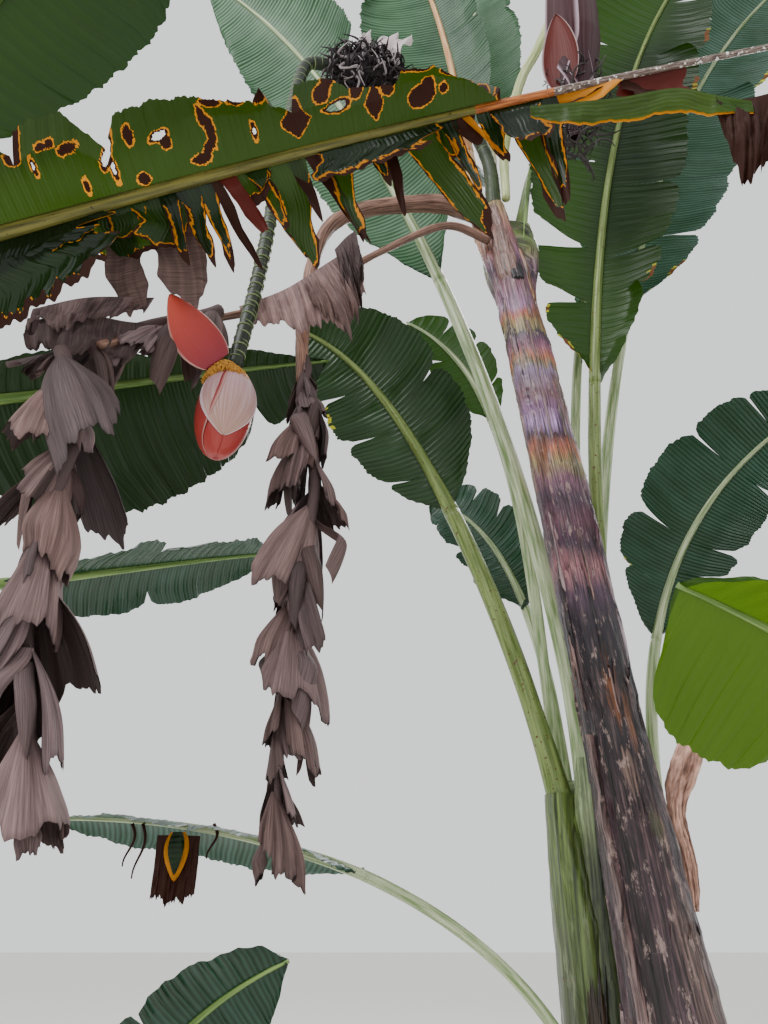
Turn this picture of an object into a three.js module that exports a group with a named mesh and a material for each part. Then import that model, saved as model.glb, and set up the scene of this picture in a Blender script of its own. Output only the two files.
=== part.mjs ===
// Banana plant: a clump of stems from one root, with its leaves, dead leaves and flower stalks.
// Millimetres and degrees. +X is right, +Y is back, +Z is up. The origin is the foot of the main stem.
import * as THREE from 'three';

const { degToRad, lerp, clamp } = THREE.MathUtils;

// Stems. Each foot and top is a point on the ground plan, and girths are [height, diameter] pairs.
// bow is the share of the lean that comes in late, as a curve.
const STEMS = {
  main: {
    foot: [0, 0], top: [-354, 0], bow: 0.29, height: 4210,
    girths: [[0, 360], [350, 300], [1340, 244], [1990, 183], [3490, 157], [3900, 124], [4210, 84]],
  },
  second: {
    foot: [-190, 330], top: [-168, 255], bow: 0, height: 1950,
    girths: [[0, 330], [300, 290], [1300, 254], [1600, 222], [1760, 150], [1950, 84]],
  },
  left: {
    foot: [-1450, -350], top: [-2620, -750], bow: 0.2, height: 3100,
    girths: [[0, 330], [350, 260], [1500, 200], [3100, 130]],
  },
  sucker: {
    foot: [-345, 70], top: [-325, 90], bow: 0, height: 1200,
    girths: [[0, 160], [300, 130], [1200, 76]],
  },
  hidden: {
    foot: [190, 430], top: [60, 345], bow: 0, height: 1740,
    girths: [[0, 220], [300, 170], [1740, 84]],
  },
  right: {
    foot: [470, -420], top: [640, -760], bow: 0, height: 1700,
    girths: [[0, 240], [300, 190], [1700, 120]],
  },
  small: {
    foot: [-1420, -40], top: [-1500, -200], bow: 0, height: 850,
    girths: [[0, 130], [850, 70]],
  },
};
const STEM_SIDES = 12;
const STEM_STEP = 450;

// Leaves. A midrib starts at its seat on a stem and is walked outwards:
//   side     compass angle of the seat round the stem, counted from +X towards +Y
//   height   height of a seat on the stem's side; without one the leaf starts on the stem's flat top
//   heading  compass angle of the first step
//   sweep    how far the heading has turned at the tip
//   rise     angle above level of the first step
//   droop    how far the rise has fallen at the tip, as a power of the way along
//   nod      extra fall close to the tip
//   taper    how late the blade narrows towards its tip
// roll turns the blade about its midrib, tilt lifts or drops its left and right halves, and bare is
// the share of the blade's length where only the rib is left.
const LEAF = {
  sweep: 0, droop: 0, power: 1, nod: 20, roll: 0, tilt: [-12, -12], curl: 14,
  halves: [300, 300], taper: 4.5, bare: 0, rib: 23, whole: false,
};
const LEAVES = [
  // The flowering main stem
  {
    name: 'main_leaf_left', stem: 'main', height: 4060, side: 155,
    heading: 193, sweep: -6, rise: 88, droop: 10, nod: 45,
    stalk: 520, blade: 1960, halves: [230, 420], roll: 62, rib: 25,
  },
  {
    name: 'main_leaf_middle', stem: 'main', height: 4110, side: 75,
    heading: 95, sweep: -14, rise: 86, nod: 40,
    stalk: 740, blade: 1760, halves: [240, 290], roll: 174, rib: 24,
  },
  {
    name: 'main_leaf_right', stem: 'main', height: 4020, side: 20,
    heading: 42, sweep: -3, rise: 80, droop: 60, power: 1.6, nod: 20,
    stalk: 650, blade: 1250, halves: [220, 220], roll: -40, whole: true,
  },
  {
    name: 'main_leaf_back', stem: 'main', height: 3960, side: 110,
    heading: 112, rise: 83, droop: 60, power: 1.5, nod: 30,
    stalk: 600, blade: 1700, halves: [290, 290],
  },
  // The green second stem
  {
    name: 'ribbed_leaf', stem: 'second', height: 1780, side: 205,
    heading: 187, rise: 88, droop: 27, power: 0.45, nod: 40,
    stalk: 1130, blade: 1010, halves: [290, 250], roll: 66, rib: 30,
  },
  {
    name: 'tall_left_leaf', stem: 'second', height: 1880, side: 255,
    heading: -168, sweep: -8, rise: 88, droop: 30, power: 0.78, nod: 20,
    stalk: 2060, blade: 2300, halves: [330, 330], tilt: [-6, -6], curl: 8, roll: 60, rib: 27,
  },
  {
    name: 'striped_leaf', stem: 'second', height: 1830, side: 142,
    heading: 150, sweep: 20, rise: 88, droop: 34, power: 3,
    stalk: 1560, blade: 700, halves: [150, 150], roll: 90, rib: 22,
  },
  {
    name: 'low_back_leaf', stem: 'second', height: 1740, side: 100,
    heading: 140, sweep: -11, rise: 85, droop: 59, power: 2.3, nod: 0,
    stalk: 850, blade: 840, halves: [180, 160], roll: 112, rib: 19, whole: true,
  },
  {
    name: 'rolled_leaf', stem: 'second', side: 0,
    heading: 6, sweep: -16, rise: 88, droop: 15, power: 1.1, nod: 6,
    stalk: 1600, blade: 1700, halves: [50, 50], roll: -60, rib: 20, whole: true,
  },
  {
    name: 'tall_right_leaf', stem: 'second', height: 1850, side: 318,
    heading: -29, sweep: 7, rise: 88, droop: 21, power: 1.3, nod: 40,
    stalk: 1560, blade: 2900, halves: [330, 370], roll: -75, rib: 24,
  },
  {
    name: 'tall_back_leaf', stem: 'second', height: 1810, side: 55,
    heading: -2, sweep: -20, rise: 88, droop: 24, power: 0.74, nod: 40,
    stalk: 2100, blade: 2450, halves: [340, 370], roll: -82, rib: 22,
  },
  // The left stem
  {
    name: 'holed_leaf', stem: 'left', height: 3020, side: 0,
    heading: 4, sweep: -20, rise: 27, droop: 33, power: 1.3, nod: 0,
    stalk: 270, blade: 2680, halves: [330, 225], taper: 12, tilt: [-40, 14], bare: 0.302, rib: 26,
  },
  {
    name: 'left_leaf_high', stem: 'left', height: 3070, side: -62,
    heading: -22, rise: 34, droop: -26, nod: 75,
    stalk: 450, blade: 1740, halves: [340, 310], roll: -19,
  },
  {
    name: 'leaf_behind_bud', stem: 'left', height: 2700, side: 35,
    heading: 29, sweep: -3, rise: 27, nod: 4,
    stalk: 260, blade: 1420, halves: [540, 170], taper: 1.5, roll: -58,
  },
  {
    name: 'left_leaf_low', stem: 'left', height: 2250, side: 60,
    heading: 60, sweep: -19, rise: 24, nod: 6,
    stalk: 460, blade: 1130, halves: [190, 190], roll: -30, rib: 19, whole: true,
  },
  {
    name: 'left_leaf_outer', stem: 'left', height: 3040, side: 185,
    heading: 190, rise: 76, droop: 88, power: 1.2, nod: 20,
    stalk: 620, blade: 2000, halves: [310, 310],
  },
  {
    name: 'left_leaf_back', stem: 'left', height: 3080, side: 105,
    heading: 116, rise: 80, droop: 78, power: 1.3, nod: 20,
    stalk: 600, blade: 1900, halves: [300, 300],
  },
  {
    name: 'left_leaf_front', stem: 'left', height: 2990, side: 245,
    heading: -118, rise: 74, droop: 92, power: 1.2, nod: 20,
    stalk: 520, blade: 1650, halves: [280, 280], whole: true,
  },
  // The suckers and the stems at the right
  {
    name: 'sucker_leaf', stem: 'sucker', side: 180,
    heading: 185, sweep: -6, rise: 88, droop: 90, power: 0.38, nod: 0,
    stalk: 740, blade: 930, halves: [145, 150], roll: 14, rib: 19,
  },
  {
    name: 'small_sucker_leaf', stem: 'small', side: 0,
    heading: -16, sweep: 7, rise: 88, droop: 68, power: 0.93, nod: 0,
    stalk: 230, blade: 610, halves: [150, 150], roll: -60, rib: 16, whole: true,
  },
  {
    name: 'hidden_stem_leaf', stem: 'hidden', side: 0,
    heading: -18, sweep: -46, rise: 88, droop: 96, power: 1.95, nod: 0,
    stalk: 690, blade: 1040, halves: [200, 250], roll: -60, rib: 19,
  },
  {
    name: 'torn_right_leaf', stem: 'right', height: 1640, side: 180,
    heading: -176, sweep: 15, rise: 48, droop: 33, nod: 0,
    stalk: 200, blade: 780, halves: [250, 290], taper: 14, tilt: [-34, -20], roll: 30, whole: true,
  },
  {
    name: 'right_leaf_outer', stem: 'right', side: 20,
    heading: 22, rise: 78, droop: 86, power: 1.3, nod: 20,
    stalk: 520, blade: 1450, halves: [260, 260],
  },
  {
    name: 'right_leaf_front', stem: 'right', height: 1620, side: 290,
    heading: -62, rise: 76, droop: 84, power: 1.3, nod: 20,
    stalk: 460, blade: 1200, halves: [230, 230], rib: 20, whole: true,
  },
];
const SEAT_GAP = { top: 0.5, side: 5 };
const JOIN_GAP = 0.6;
const STALK_STEPS = 6;
const WHOLE_STALK_STEPS = 3;
const BLADE_STEPS = 8;
const STALK_DEPTH = 1.0;
const STALK_SWELL = 1.15;
const BLADE_THICKNESS = 7;
const RIB_DEPTH = 1.2;
const RIB_AT_TIP = 0.3;
const RIB_CREST = 0.25;
const BARE_WIDTH = 1.15;
const BASE_ROUNDNESS = 7;
const TIP_BLUNTNESS = 0.75;
const WALK_STEPS = 96;

// Flower parts, as the points that their middle lines pass through and a radius at each.
const FRUIT_STALK = {
  points: [[-356, -2, 4216], [-370, -20, 4480], [-490, -90, 4726], [-620, -140, 4808], [-742, -172, 4808]],
  radii: [34, 29, 28, 28, 27],
};
const DRIED_BUNCH = {
  points: [[-750, -174, 4807], [-840, -200, 4800], [-940, -228, 4778], [-1030, -254, 4758]],
  radii: [50, 112, 120, 40],
};
const FLOWER_STALK = {
  points: [
    [-1039, -254, 4757], [-1085, -274, 4752], [-1140, -290, 4720], [-1170, -300, 4570],
    [-1205, -326, 4100], [-1240, -352, 3515], [-1282, -392, 3072],
  ],
  radii: [28, 28, 27, 27, 25, 24, 25],
};
const BUD = {
  points: [
    [-1284, -394, 3056], [-1288, -400, 3000], [-1296, -405, 2900], [-1302, -405, 2800], [-1304, -402, 2742],
  ],
  radii: [34, 74, 86, 56, 8],
};
const RAISED_BRACT = { root: [-1318, -450, 3050], tip: [-1442, -600, 3176], width: 150, thickness: 12 };
const SECOND_STALK = {
  points: [
    [-310, -34, 4222], [-290, -40, 4560], [-190, -45, 4970], [-96, -60, 5190], [20, -100, 5500],
    [60, -180, 5740], [40, -300, 5760], [4, -345, 5560], [-8, -350, 5290],
  ],
  radii: [17, 23, 23, 23, 23, 23, 23, 25, 30],
};
const SECOND_BUD = {
  points: [[-10, -350, 5270], [-18, -350, 5080], [-44, -350, 4740], [-72, -350, 4420], [-96, -350, 4180]],
  radii: [48, 104, 112, 78, 20],
};

// Dead leaves and dead sheaths
const THICK_DEAD_STALK = {
  points: [
    [-424, -46, 4110], [-569, -60, 4158], [-714, -80, 4141], [-935, -130, 4038], [-1064, -160, 3855],
    [-1103, -190, 3437], [-1096, -200, 3165],
  ],
  radii: [40, 39, 36, 32, 28, 26, 22],
};
const CENTRE_DEAD_LEAF = {
  top: [-1094, -200, 3130], bottom: [-1094, -200, 1618], width: 94, depth: 76,
  sways: [0, 26, 52, 44, 14, 0, -16, -12, 0],
};
const THIN_DEAD_STALK = {
  points: [
    [-398, -42, 3980], [-580, -120, 3973], [-835, -200, 3752], [-1144, -270, 3456], [-1414, -370, 3272],
    [-1544, -470, 3134], [-1614, -600, 2990],
  ],
  radii: [20, 16, 14, 14, 14, 14, 14],
};
const DEAD_BLADE = { root: [-1107, -325, 3482], tip: [-1055, -325, 3223], width: 240, thickness: 22 };
const LEFT_DEAD_LEAF = {
  top: [-1690, -665, 2930], bottom: [-1521, -660, 1658], width: 80, depth: 72,
  sways: [0, 30, 44, 14, -10, -24, -16, -6, 0],
};
const RIGHT_DEAD_SHEATH = { root: [36, 20, 1560], tip: [88, 20, 2050], width: 74, thickness: 14 };
// A hanging dead leaf is narrower at its ends, and its folds go in and out by a share of its girth.
const HANGING = { steps: 10, sides: 9, ends: 0.35, start: 0.12, reach: 0.85, folds: 3, depth: 0.14, turn: 5 };
// A bract or sheath has this share of its width at its root, and swells in the middle.
const SCALE = { steps: 7, root: 0.18, swell: 0.32, start: 0.18, reach: 0.8 };
const TUBE_SIDES = 8;
const STEPS_PER_POINT = 2;
const BUD_STEPS = 10;
const BUNCH_STEPS = 8;

const COLOURS = {
  mainStem: [0x4a3638, 0.45], greenStem: [0x6f8038, 0.45], stalk: [0x8aa068, 0.4], blade: [0x4f7d24, 0.45],
  holed: [0x6a8f22, 0.45], dead: [0x86695c, 0.85], flowerStalk: [0x46513a, 0.5], bud: [0xb99aa6, 0.5],
  bract: [0xc8402f, 0.45], bunch: [0x2c2222, 0.9], purple: [0x5a2329, 0.5],
};

const RIGHT = new THREE.Vector3(1, 0, 0);
const BACK = new THREE.Vector3(0, 1, 0);
const UP = new THREE.Vector3(0, 0, 1);
const vector = (p) => new THREE.Vector3(p[0], p[1], p[2]);

// A closed solid through rings of points, all with the same count. Each end is a fan from its middle.
function loft(rings) {
  const sides = rings[0].length;
  const positions = rings.flat();
  const faces = [];
  for (let r = 0; r + 1 < rings.length; r += 1) {
    for (let k = 0; k < sides; k += 1) {
      const a = r * sides + k;
      const b = r * sides + (k + 1) % sides;
      faces.push([a, b, b + sides], [a, b + sides, a + sides]);
    }
  }
  const caps = [[rings[0], 0, true], [rings[rings.length - 1], (rings.length - 1) * sides, false]];
  for (const [ring, start, first] of caps) {
    const middle = ring.reduce((sum, p) => sum.add(p), new THREE.Vector3()).divideScalar(sides);
    positions.push(middle);
    const centre = positions.length - 1;
    for (let k = 0; k < sides; k += 1) {
      const a = start + k;
      const b = start + (k + 1) % sides;
      faces.push(first ? [centre, b, a] : [centre, a, b]);
    }
  }
  return solid(positions, faces);
}

// A BufferGeometry from points and triangles, turned so that the faces point outwards.
function solid(points, faces) {
  const volume = faces.reduce((sum, [a, b, c]) => {
    const cross = new THREE.Vector3().crossVectors(points[b], points[c]);
    return sum + points[a].dot(cross);
  }, 0);
  const index = faces.flatMap(([a, b, c]) => (volume > 0 ? [a, b, c] : [a, c, b]));
  const geometry = new THREE.BufferGeometry();
  geometry.setAttribute('position', new THREE.Float32BufferAttribute(points.flatMap((p) => p.toArray()), 3));
  geometry.setIndex(index);
  geometry.computeVertexNormals();
  return geometry;
}

// Straight-line reading of a list of [place, value] pairs.
function reading(pairs, place) {
  let i = 1;
  while (i < pairs.length - 1 && pairs[i][0] < place) {
    i += 1;
  }
  const [p0, v0] = pairs[i - 1];
  const [p1, v1] = pairs[i];
  return lerp(v0, v1, clamp((place - p0) / (p1 - p0), 0, 1));
}

// The middle of a stem at a height
function stemMiddle(stem, height) {
  const t = height / stem.height;
  const way = (1 - stem.bow) * t + stem.bow * t * t;
  return new THREE.Vector3(lerp(stem.foot[0], stem.top[0], way), lerp(stem.foot[1], stem.top[1], way), height);
}

function stemGeometry(stem) {
  const steps = Math.ceil(stem.height / STEM_STEP);
  const rings = [];
  for (let i = 0; i <= steps; i += 1) {
    const height = stem.height * i / steps;
    const middle = stemMiddle(stem, height);
    const radius = reading(stem.girths, height) / 2;
    rings.push(circle(middle, RIGHT, BACK, () => radius, STEM_SIDES));
  }
  return loft(rings);
}

// A ring of points round a middle, in the plane of two directions.
function circle(middle, across, along, radiusAt, sides) {
  return Array.from({ length: sides }, (_, k) => {
    const angle = 2 * Math.PI * k / sides;
    const radius = radiusAt(angle);
    return middle.clone()
      .addScaledVector(across, radius * Math.cos(angle))
      .addScaledVector(along, radius * Math.sin(angle));
  });
}

// Where a leaf starts: on the flat top of its stem, or against the stem's side at a height.
function seat(leaf) {
  const stem = STEMS[leaf.stem];
  const side = degToRad(leaf.side);
  const outward = new THREE.Vector3(Math.cos(side), Math.sin(side), 0);
  if (leaf.height === undefined) {
    return stemMiddle(stem, stem.height).addScaledVector(UP, SEAT_GAP.top);
  }
  const half = leaf.rib * STALK_SWELL * Math.sin(degToRad(leaf.rise));
  const reach = reading(stem.girths, leaf.height) / 2 + SEAT_GAP.side + half;
  return stemMiddle(stem, leaf.height).addScaledVector(outward, reach);
}

// The midrib of a leaf, as stations from its seat to its tip.
function midrib(leaf) {
  const length = leaf.stalk + leaf.blade;
  const stations = [];
  const place = seat(leaf);
  for (let i = 0; i <= WALK_STEPS; i += 1) {
    const t = i / WALK_STEPS;
    const heading = degToRad(leaf.heading + leaf.sweep * t);
    const rise = degToRad(leaf.rise - leaf.droop * t ** leaf.power - leaf.nod * t ** 6);
    const ahead = new THREE.Vector3(
      Math.cos(rise) * Math.cos(heading), Math.cos(rise) * Math.sin(heading), Math.sin(rise));
    const level = new THREE.Vector3(Math.sin(heading), -Math.cos(heading), 0);
    const turn = degToRad(leaf.roll) * clamp(t * length / leaf.stalk, 0, 1);
    const upper = new THREE.Vector3().crossVectors(level, ahead);
    const right = level.clone().multiplyScalar(Math.cos(turn)).addScaledVector(upper, -Math.sin(turn));
    const up = upper.clone().multiplyScalar(Math.cos(turn)).addScaledVector(level, Math.sin(turn));
    stations.push({ place: place.clone(), ahead, right, up });
    place.addScaledVector(ahead, length / WALK_STEPS);
  }
  return (distance) => stations[Math.round(clamp(distance / length, 0, 1) * WALK_STEPS)];
}

// A leaf stalk is a gutter, open on its upper side.
const GUTTER = [[-1, 0.35], [-0.8, -0.5], [0, -1], [0.8, -0.5], [1, 0.35], [0.35, 0]];
function gutter(station, half) {
  return GUTTER.map(([x, y]) => station.place.clone()
    .addScaledVector(station.right, x * half)
    .addScaledVector(station.up, y * half * STALK_DEPTH));
}

function stalkHalf(leaf, t) {
  return leaf.rib * lerp(STALK_SWELL, 1, t);
}

function stalkGeometry(leaf, along) {
  const rings = [];
  for (let i = 0; i <= STALK_STEPS; i += 1) {
    const t = i / STALK_STEPS;
    rings.push(gutter(along(leaf.stalk * t), stalkHalf(leaf, t)));
  }
  if (leaf.height === undefined) {
    levelEnd(rings[0], along(0).ahead, seat(leaf).z);
  }
  return loft(rings);
}

// Slides the points of a stalk's first ring along it, so that they lie in one level plane.
function levelEnd(ring, ahead, height) {
  for (const p of ring) {
    p.addScaledVector(ahead, (height - p.z) / ahead.z);
  }
}

// The share of its full width that a blade has at t of its length: rounded at the stalk, tapering to the tip.
function outline(t, taper) {
  const base = 1 - (1 - t) ** BASE_ROUNDNESS;
  const tip = (1 - t ** taper) ** TIP_BLUNTNESS;
  return base * tip;
}

// A blade's section: two thin halves that hang from a deeper rib.
function bladeRing(leaf, station, t) {
  const rib = leaf.rib * lerp(1, RIB_AT_TIP, t);
  const width = t > 1 - leaf.bare ? 0 : outline(t / (1 - leaf.bare), leaf.taper);
  const sides = [-1, 1].map((sign, i) => {
    const half = Math.max(rib * BARE_WIDTH, leaf.halves[i] * width);
    const tilt = degToRad(leaf.tilt[i]);
    const curled = tilt - degToRad(leaf.curl);
    const inner = [sign * half * 0.5 * Math.cos(tilt), half * 0.5 * Math.sin(tilt)];
    const outer = [inner[0] + sign * half * 0.5 * Math.cos(curled), inner[1] + half * 0.5 * Math.sin(curled)];
    return { inner, outer };
  });
  const [left, right] = sides;
  const drop = BLADE_THICKNESS;
  const section = [
    left.outer, left.inner, [0, rib * RIB_CREST], right.inner, right.outer,
    [right.outer[0], right.outer[1] - drop], [right.inner[0], right.inner[1] - drop],
    [0, -rib * RIB_DEPTH], [left.inner[0], left.inner[1] - drop], [left.outer[0], left.outer[1] - drop],
  ];
  return section.map(([x, y]) => station.place.clone()
    .addScaledVector(station.right, x)
    .addScaledVector(station.up, y));
}

function bladeGeometry(leaf, along) {
  const rings = [];
  if (leaf.whole) {
    for (let i = 0; i < WHOLE_STALK_STEPS; i += 1) {
      rings.push(bladeRing(leaf, along(leaf.stalk * i / WHOLE_STALK_STEPS), 0));
    }
    if (leaf.height === undefined) {
      levelEnd(rings[0], along(0).ahead, seat(leaf).z);
    }
  }
  for (let i = 0; i <= BLADE_STEPS; i += 1) {
    const t = i / BLADE_STEPS;
    const gap = leaf.whole ? 0 : JOIN_GAP;
    const ring = bladeRing(leaf, along(leaf.stalk + leaf.blade * t), t);
    const ahead = along(leaf.stalk).ahead;
    rings.push(i === 0 ? ring.map((p) => p.addScaledVector(ahead, gap)) : ring);
  }
  return loft(rings);
}

// A round limb along a smooth line, with a radius for each of its points.
function limbGeometry({ points, radii }, steps = points.length * STEPS_PER_POINT) {
  const curve = new THREE.CatmullRomCurve3(points.map(vector), false, 'centripetal');
  const frames = curve.computeFrenetFrames(steps, false);
  const places = radii.map((radius, i) => [i / (radii.length - 1), radius]);
  const rings = [];
  for (let i = 0; i <= steps; i += 1) {
    const t = i / steps;
    const radius = reading(places, t);
    rings.push(circle(curve.getPoint(t), frames.normals[i], frames.binormals[i], () => radius, TUBE_SIDES));
  }
  return loft(rings);
}

// A hanging dead leaf: a crumpled bundle whose girth swells and shrinks, and which sways on its way down.
function hangingGeometry({ top, bottom, width, depth, sways }) {
  const from = vector(top);
  const to = vector(bottom);
  const places = sways.map((sway, i) => [i / (sways.length - 1), sway]);
  const across = new THREE.Vector3(width, 0, 0);
  const through = new THREE.Vector3(0, depth, 0);
  const rings = [];
  for (let i = 0; i <= HANGING.steps; i += 1) {
    const t = i / HANGING.steps;
    const middle = from.clone().lerp(to, t);
    middle.x += reading(places, t);
    const bulge = Math.sin(Math.PI * Math.min(1, t * HANGING.reach + HANGING.start));
    const swell = lerp(HANGING.ends, 1, bulge);
    const fold = (angle) => Math.sin(HANGING.folds * angle + HANGING.turn * i) - 1;
    const crumple = (angle) => swell * (1 + HANGING.depth * fold(angle));
    rings.push(circle(middle, across, through, crumple, HANGING.sides));
  }
  return loft(rings);
}

// A thin pointed shell, such as a bract or the end of a dead sheath, from its root to its tip.
function scaleGeometry({ root, tip, width, thickness }) {
  const from = vector(root);
  const to = vector(tip);
  const ahead = to.clone().sub(from).normalize();
  const across = new THREE.Vector3().crossVectors(ahead, BACK).normalize();
  const through = new THREE.Vector3().crossVectors(across, ahead).multiplyScalar(thickness / 2);
  const rings = [];
  for (let i = 0; i <= SCALE.steps; i += 1) {
    const t = i / SCALE.steps;
    const bulge = Math.sin(Math.PI * Math.min(1, SCALE.start + SCALE.reach * t));
    const half = width * (SCALE.root + SCALE.swell * bulge);
    const middle = from.clone().lerp(to, t);
    rings.push(circle(middle, across.clone().multiplyScalar(half), through, () => 1, TUBE_SIDES));
  }
  return loft(rings);
}

const plant = new THREE.Group();

function add(name, geometry, [colour, roughness]) {
  const material = new THREE.MeshStandardMaterial({ color: colour, roughness, metalness: 0 });
  const mesh = new THREE.Mesh(geometry, material);
  mesh.name = name;
  plant.add(mesh);
}

for (const [name, stem] of Object.entries(STEMS)) {
  add(`${name}_stem`, stemGeometry(stem), name === 'main' ? COLOURS.mainStem : COLOURS.greenStem);
}
for (const given of LEAVES) {
  const leaf = { ...LEAF, ...given };
  const along = midrib(leaf);
  const green = leaf.bare > 0 ? COLOURS.holed : COLOURS.blade;
  if (!leaf.whole) {
    add(`${leaf.name}_stalk`, stalkGeometry(leaf, along), COLOURS.stalk);
  }
  add(leaf.whole ? leaf.name : `${leaf.name}_blade`, bladeGeometry(leaf, along), green);
}
add('fruit_stalk', limbGeometry(FRUIT_STALK), COLOURS.flowerStalk);
add('dried_bunch', limbGeometry(DRIED_BUNCH, BUNCH_STEPS), COLOURS.bunch);
add('flower_stalk', limbGeometry(FLOWER_STALK), COLOURS.flowerStalk);
add('bud', limbGeometry(BUD, BUD_STEPS), COLOURS.bud);
add('raised_bract', scaleGeometry(RAISED_BRACT), COLOURS.bract);
add('second_flower_stalk', limbGeometry(SECOND_STALK), COLOURS.flowerStalk);
add('second_bud', limbGeometry(SECOND_BUD, BUD_STEPS), COLOURS.purple);
add('thick_dead_stalk', limbGeometry(THICK_DEAD_STALK), COLOURS.dead);
add('centre_dead_leaf', hangingGeometry(CENTRE_DEAD_LEAF), COLOURS.dead);
add('thin_dead_stalk', limbGeometry(THIN_DEAD_STALK), COLOURS.dead);
add('dead_blade', scaleGeometry(DEAD_BLADE), COLOURS.dead);
add('left_dead_leaf', hangingGeometry(LEFT_DEAD_LEAF), COLOURS.dead);
add('right_dead_sheath', scaleGeometry(RIGHT_DEAD_SHEATH), COLOURS.dead);

export default plant;
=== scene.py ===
"""The looks of a banana plant: a clump of stems with its leaves, dead leaves and flower stalks.

Sizes are in metres and angles in degrees unless a name says otherwise. +X is right, +Y is back and +Z is
up, and the origin is the foot of the main stem.
"""

from __future__ import annotations

import logging
import math
from dataclasses import dataclass, field
from enum import Enum, IntEnum

import bpy
import numpy as np
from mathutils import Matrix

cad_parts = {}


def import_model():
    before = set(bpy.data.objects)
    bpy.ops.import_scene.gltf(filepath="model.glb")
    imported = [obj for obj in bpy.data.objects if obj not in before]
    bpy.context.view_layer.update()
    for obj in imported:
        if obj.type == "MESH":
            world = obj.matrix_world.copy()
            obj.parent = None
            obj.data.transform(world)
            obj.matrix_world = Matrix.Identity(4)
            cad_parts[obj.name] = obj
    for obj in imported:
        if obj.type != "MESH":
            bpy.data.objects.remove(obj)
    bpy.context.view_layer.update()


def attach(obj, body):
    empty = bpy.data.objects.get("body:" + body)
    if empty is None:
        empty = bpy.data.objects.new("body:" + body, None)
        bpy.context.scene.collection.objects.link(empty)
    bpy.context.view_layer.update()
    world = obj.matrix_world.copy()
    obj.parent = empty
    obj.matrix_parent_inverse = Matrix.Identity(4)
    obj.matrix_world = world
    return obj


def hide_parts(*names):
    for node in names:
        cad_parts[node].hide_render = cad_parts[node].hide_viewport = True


LOG = logging.getLogger("banana_plant")
BODY = "root"
DOWN = np.array([0.0, 0.0, -1.0])
UP = np.array([0.0, 0.0, 1.0])
RIGHT = np.array([1.0, 0.0, 0.0])
BACK = np.array([0.0, 1.0, 0.0])
MM = 0.001
CURVE_STEPS = 24  # how finely a rounded line is read between two of its points


# Small sums


def linear(colour: str) -> tuple[float, float, float, float]:
    """Turns an sRGB colour into the linear values that a shader takes.

    Args:
        colour: Six hex digits after a hash sign.

    Returns:
        Red, green and blue from 0 to 1, and an alpha of 1.
    """
    parts = [int(colour[i : i + 2], 16) / 255 for i in (1, 3, 5)]
    low, high = 12.92, 1.055
    made = [p / low if p <= 0.04045 else ((p + 0.055) / high) ** 2.4 for p in parts]
    return (*made, 1.0)


def ease(share: np.ndarray | float) -> np.ndarray:
    """Goes smoothly from 0 to 1 as share does, and stays level outside."""
    t = np.clip(share, 0.0, 1.0)
    return t * t * (3.0 - 2.0 * t)


def mix(a: np.ndarray | float, b: np.ndarray | float, share: np.ndarray | float) -> np.ndarray:
    """Reads between a and b, a at share 0."""
    return a + (b - a) * share


def unit(vectors: np.ndarray) -> np.ndarray:
    """Gives vectors the length 1 along their last axis."""
    return vectors / np.maximum(np.linalg.norm(vectors, axis=-1, keepdims=True), 1e-9)


def paired(*values: np.ndarray | float) -> np.ndarray:
    """Puts values side by side along a new last axis, as coordinates."""
    return np.stack(np.broadcast_arrays(*values), axis=-1)


def spoke(angle: np.ndarray | float, radius: np.ndarray | float = 1.0) -> np.ndarray:
    """The level way from a middle line to points round it, at angles in radians."""
    return paired(radius * np.cos(angle), radius * np.sin(angle), 0.0)


def lattice(rows: int, columns: int, left: float = -1.0, right: float = 1.0) -> tuple[np.ndarray, np.ndarray]:
    """Shares down a sheet, from 0 to 1, and places across it, ready to be combined."""
    return np.linspace(0, 1, rows)[:, None], np.linspace(left, right, columns)[None]


def before_each(steps: np.ndarray, axis: int) -> np.ndarray:
    """The sum of the steps before each one."""
    return np.delete(np.insert(np.cumsum(steps, axis=axis), 0, 0, axis=axis), -1, axis=axis)


def run_along(places: np.ndarray) -> np.ndarray:
    """How far each place of a line is from its start."""
    return np.concatenate([[0], np.cumsum(np.linalg.norm(np.diff(places, axis=0), axis=1))])


def wander(place: np.ndarray | float, seed: int, wave: float, layers: int = 4) -> np.ndarray:
    """A smooth random line, from about -1 to 1.

    Args:
        place: Where the line is read.
        seed: Which line it is.
        wave: Length of its longest wave.
        layers: How many finer waves are added, each about half as long.

    Returns:
        The line's height at each place.
    """
    rng = np.random.default_rng(seed)
    total = 0.0
    for layer in range(layers):
        turns = np.asarray(place) / wave * 1.9**layer + rng.random()
        total = total + np.sin(2 * math.pi * turns) / 1.5**layer
    return total / 1.8


def mottle(x: np.ndarray, y: np.ndarray, seed: int, size: float, layers: int = 5) -> np.ndarray:
    """A smooth random field, from about -1 to 1.

    Args:
        x: First coordinate.
        y: Second coordinate.
        seed: Which field it is.
        size: Length of its longest wave.
        layers: How many finer waves are added.

    Returns:
        The field at each place.
    """
    rng = np.random.default_rng(seed)
    total = 0.0
    for layer in range(layers):
        angle, shift = rng.random(2) * 2 * math.pi
        along = (x * math.cos(angle) + y * math.sin(angle)) / size * 1.6**layer
        across = (y * math.cos(angle) - x * math.sin(angle)) / size * 1.6**layer
        total = total + np.sin(2 * math.pi * along + shift + 1.7 * np.sin(2 * math.pi * across)) / 1.35**layer
    return total / 2.0


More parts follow.
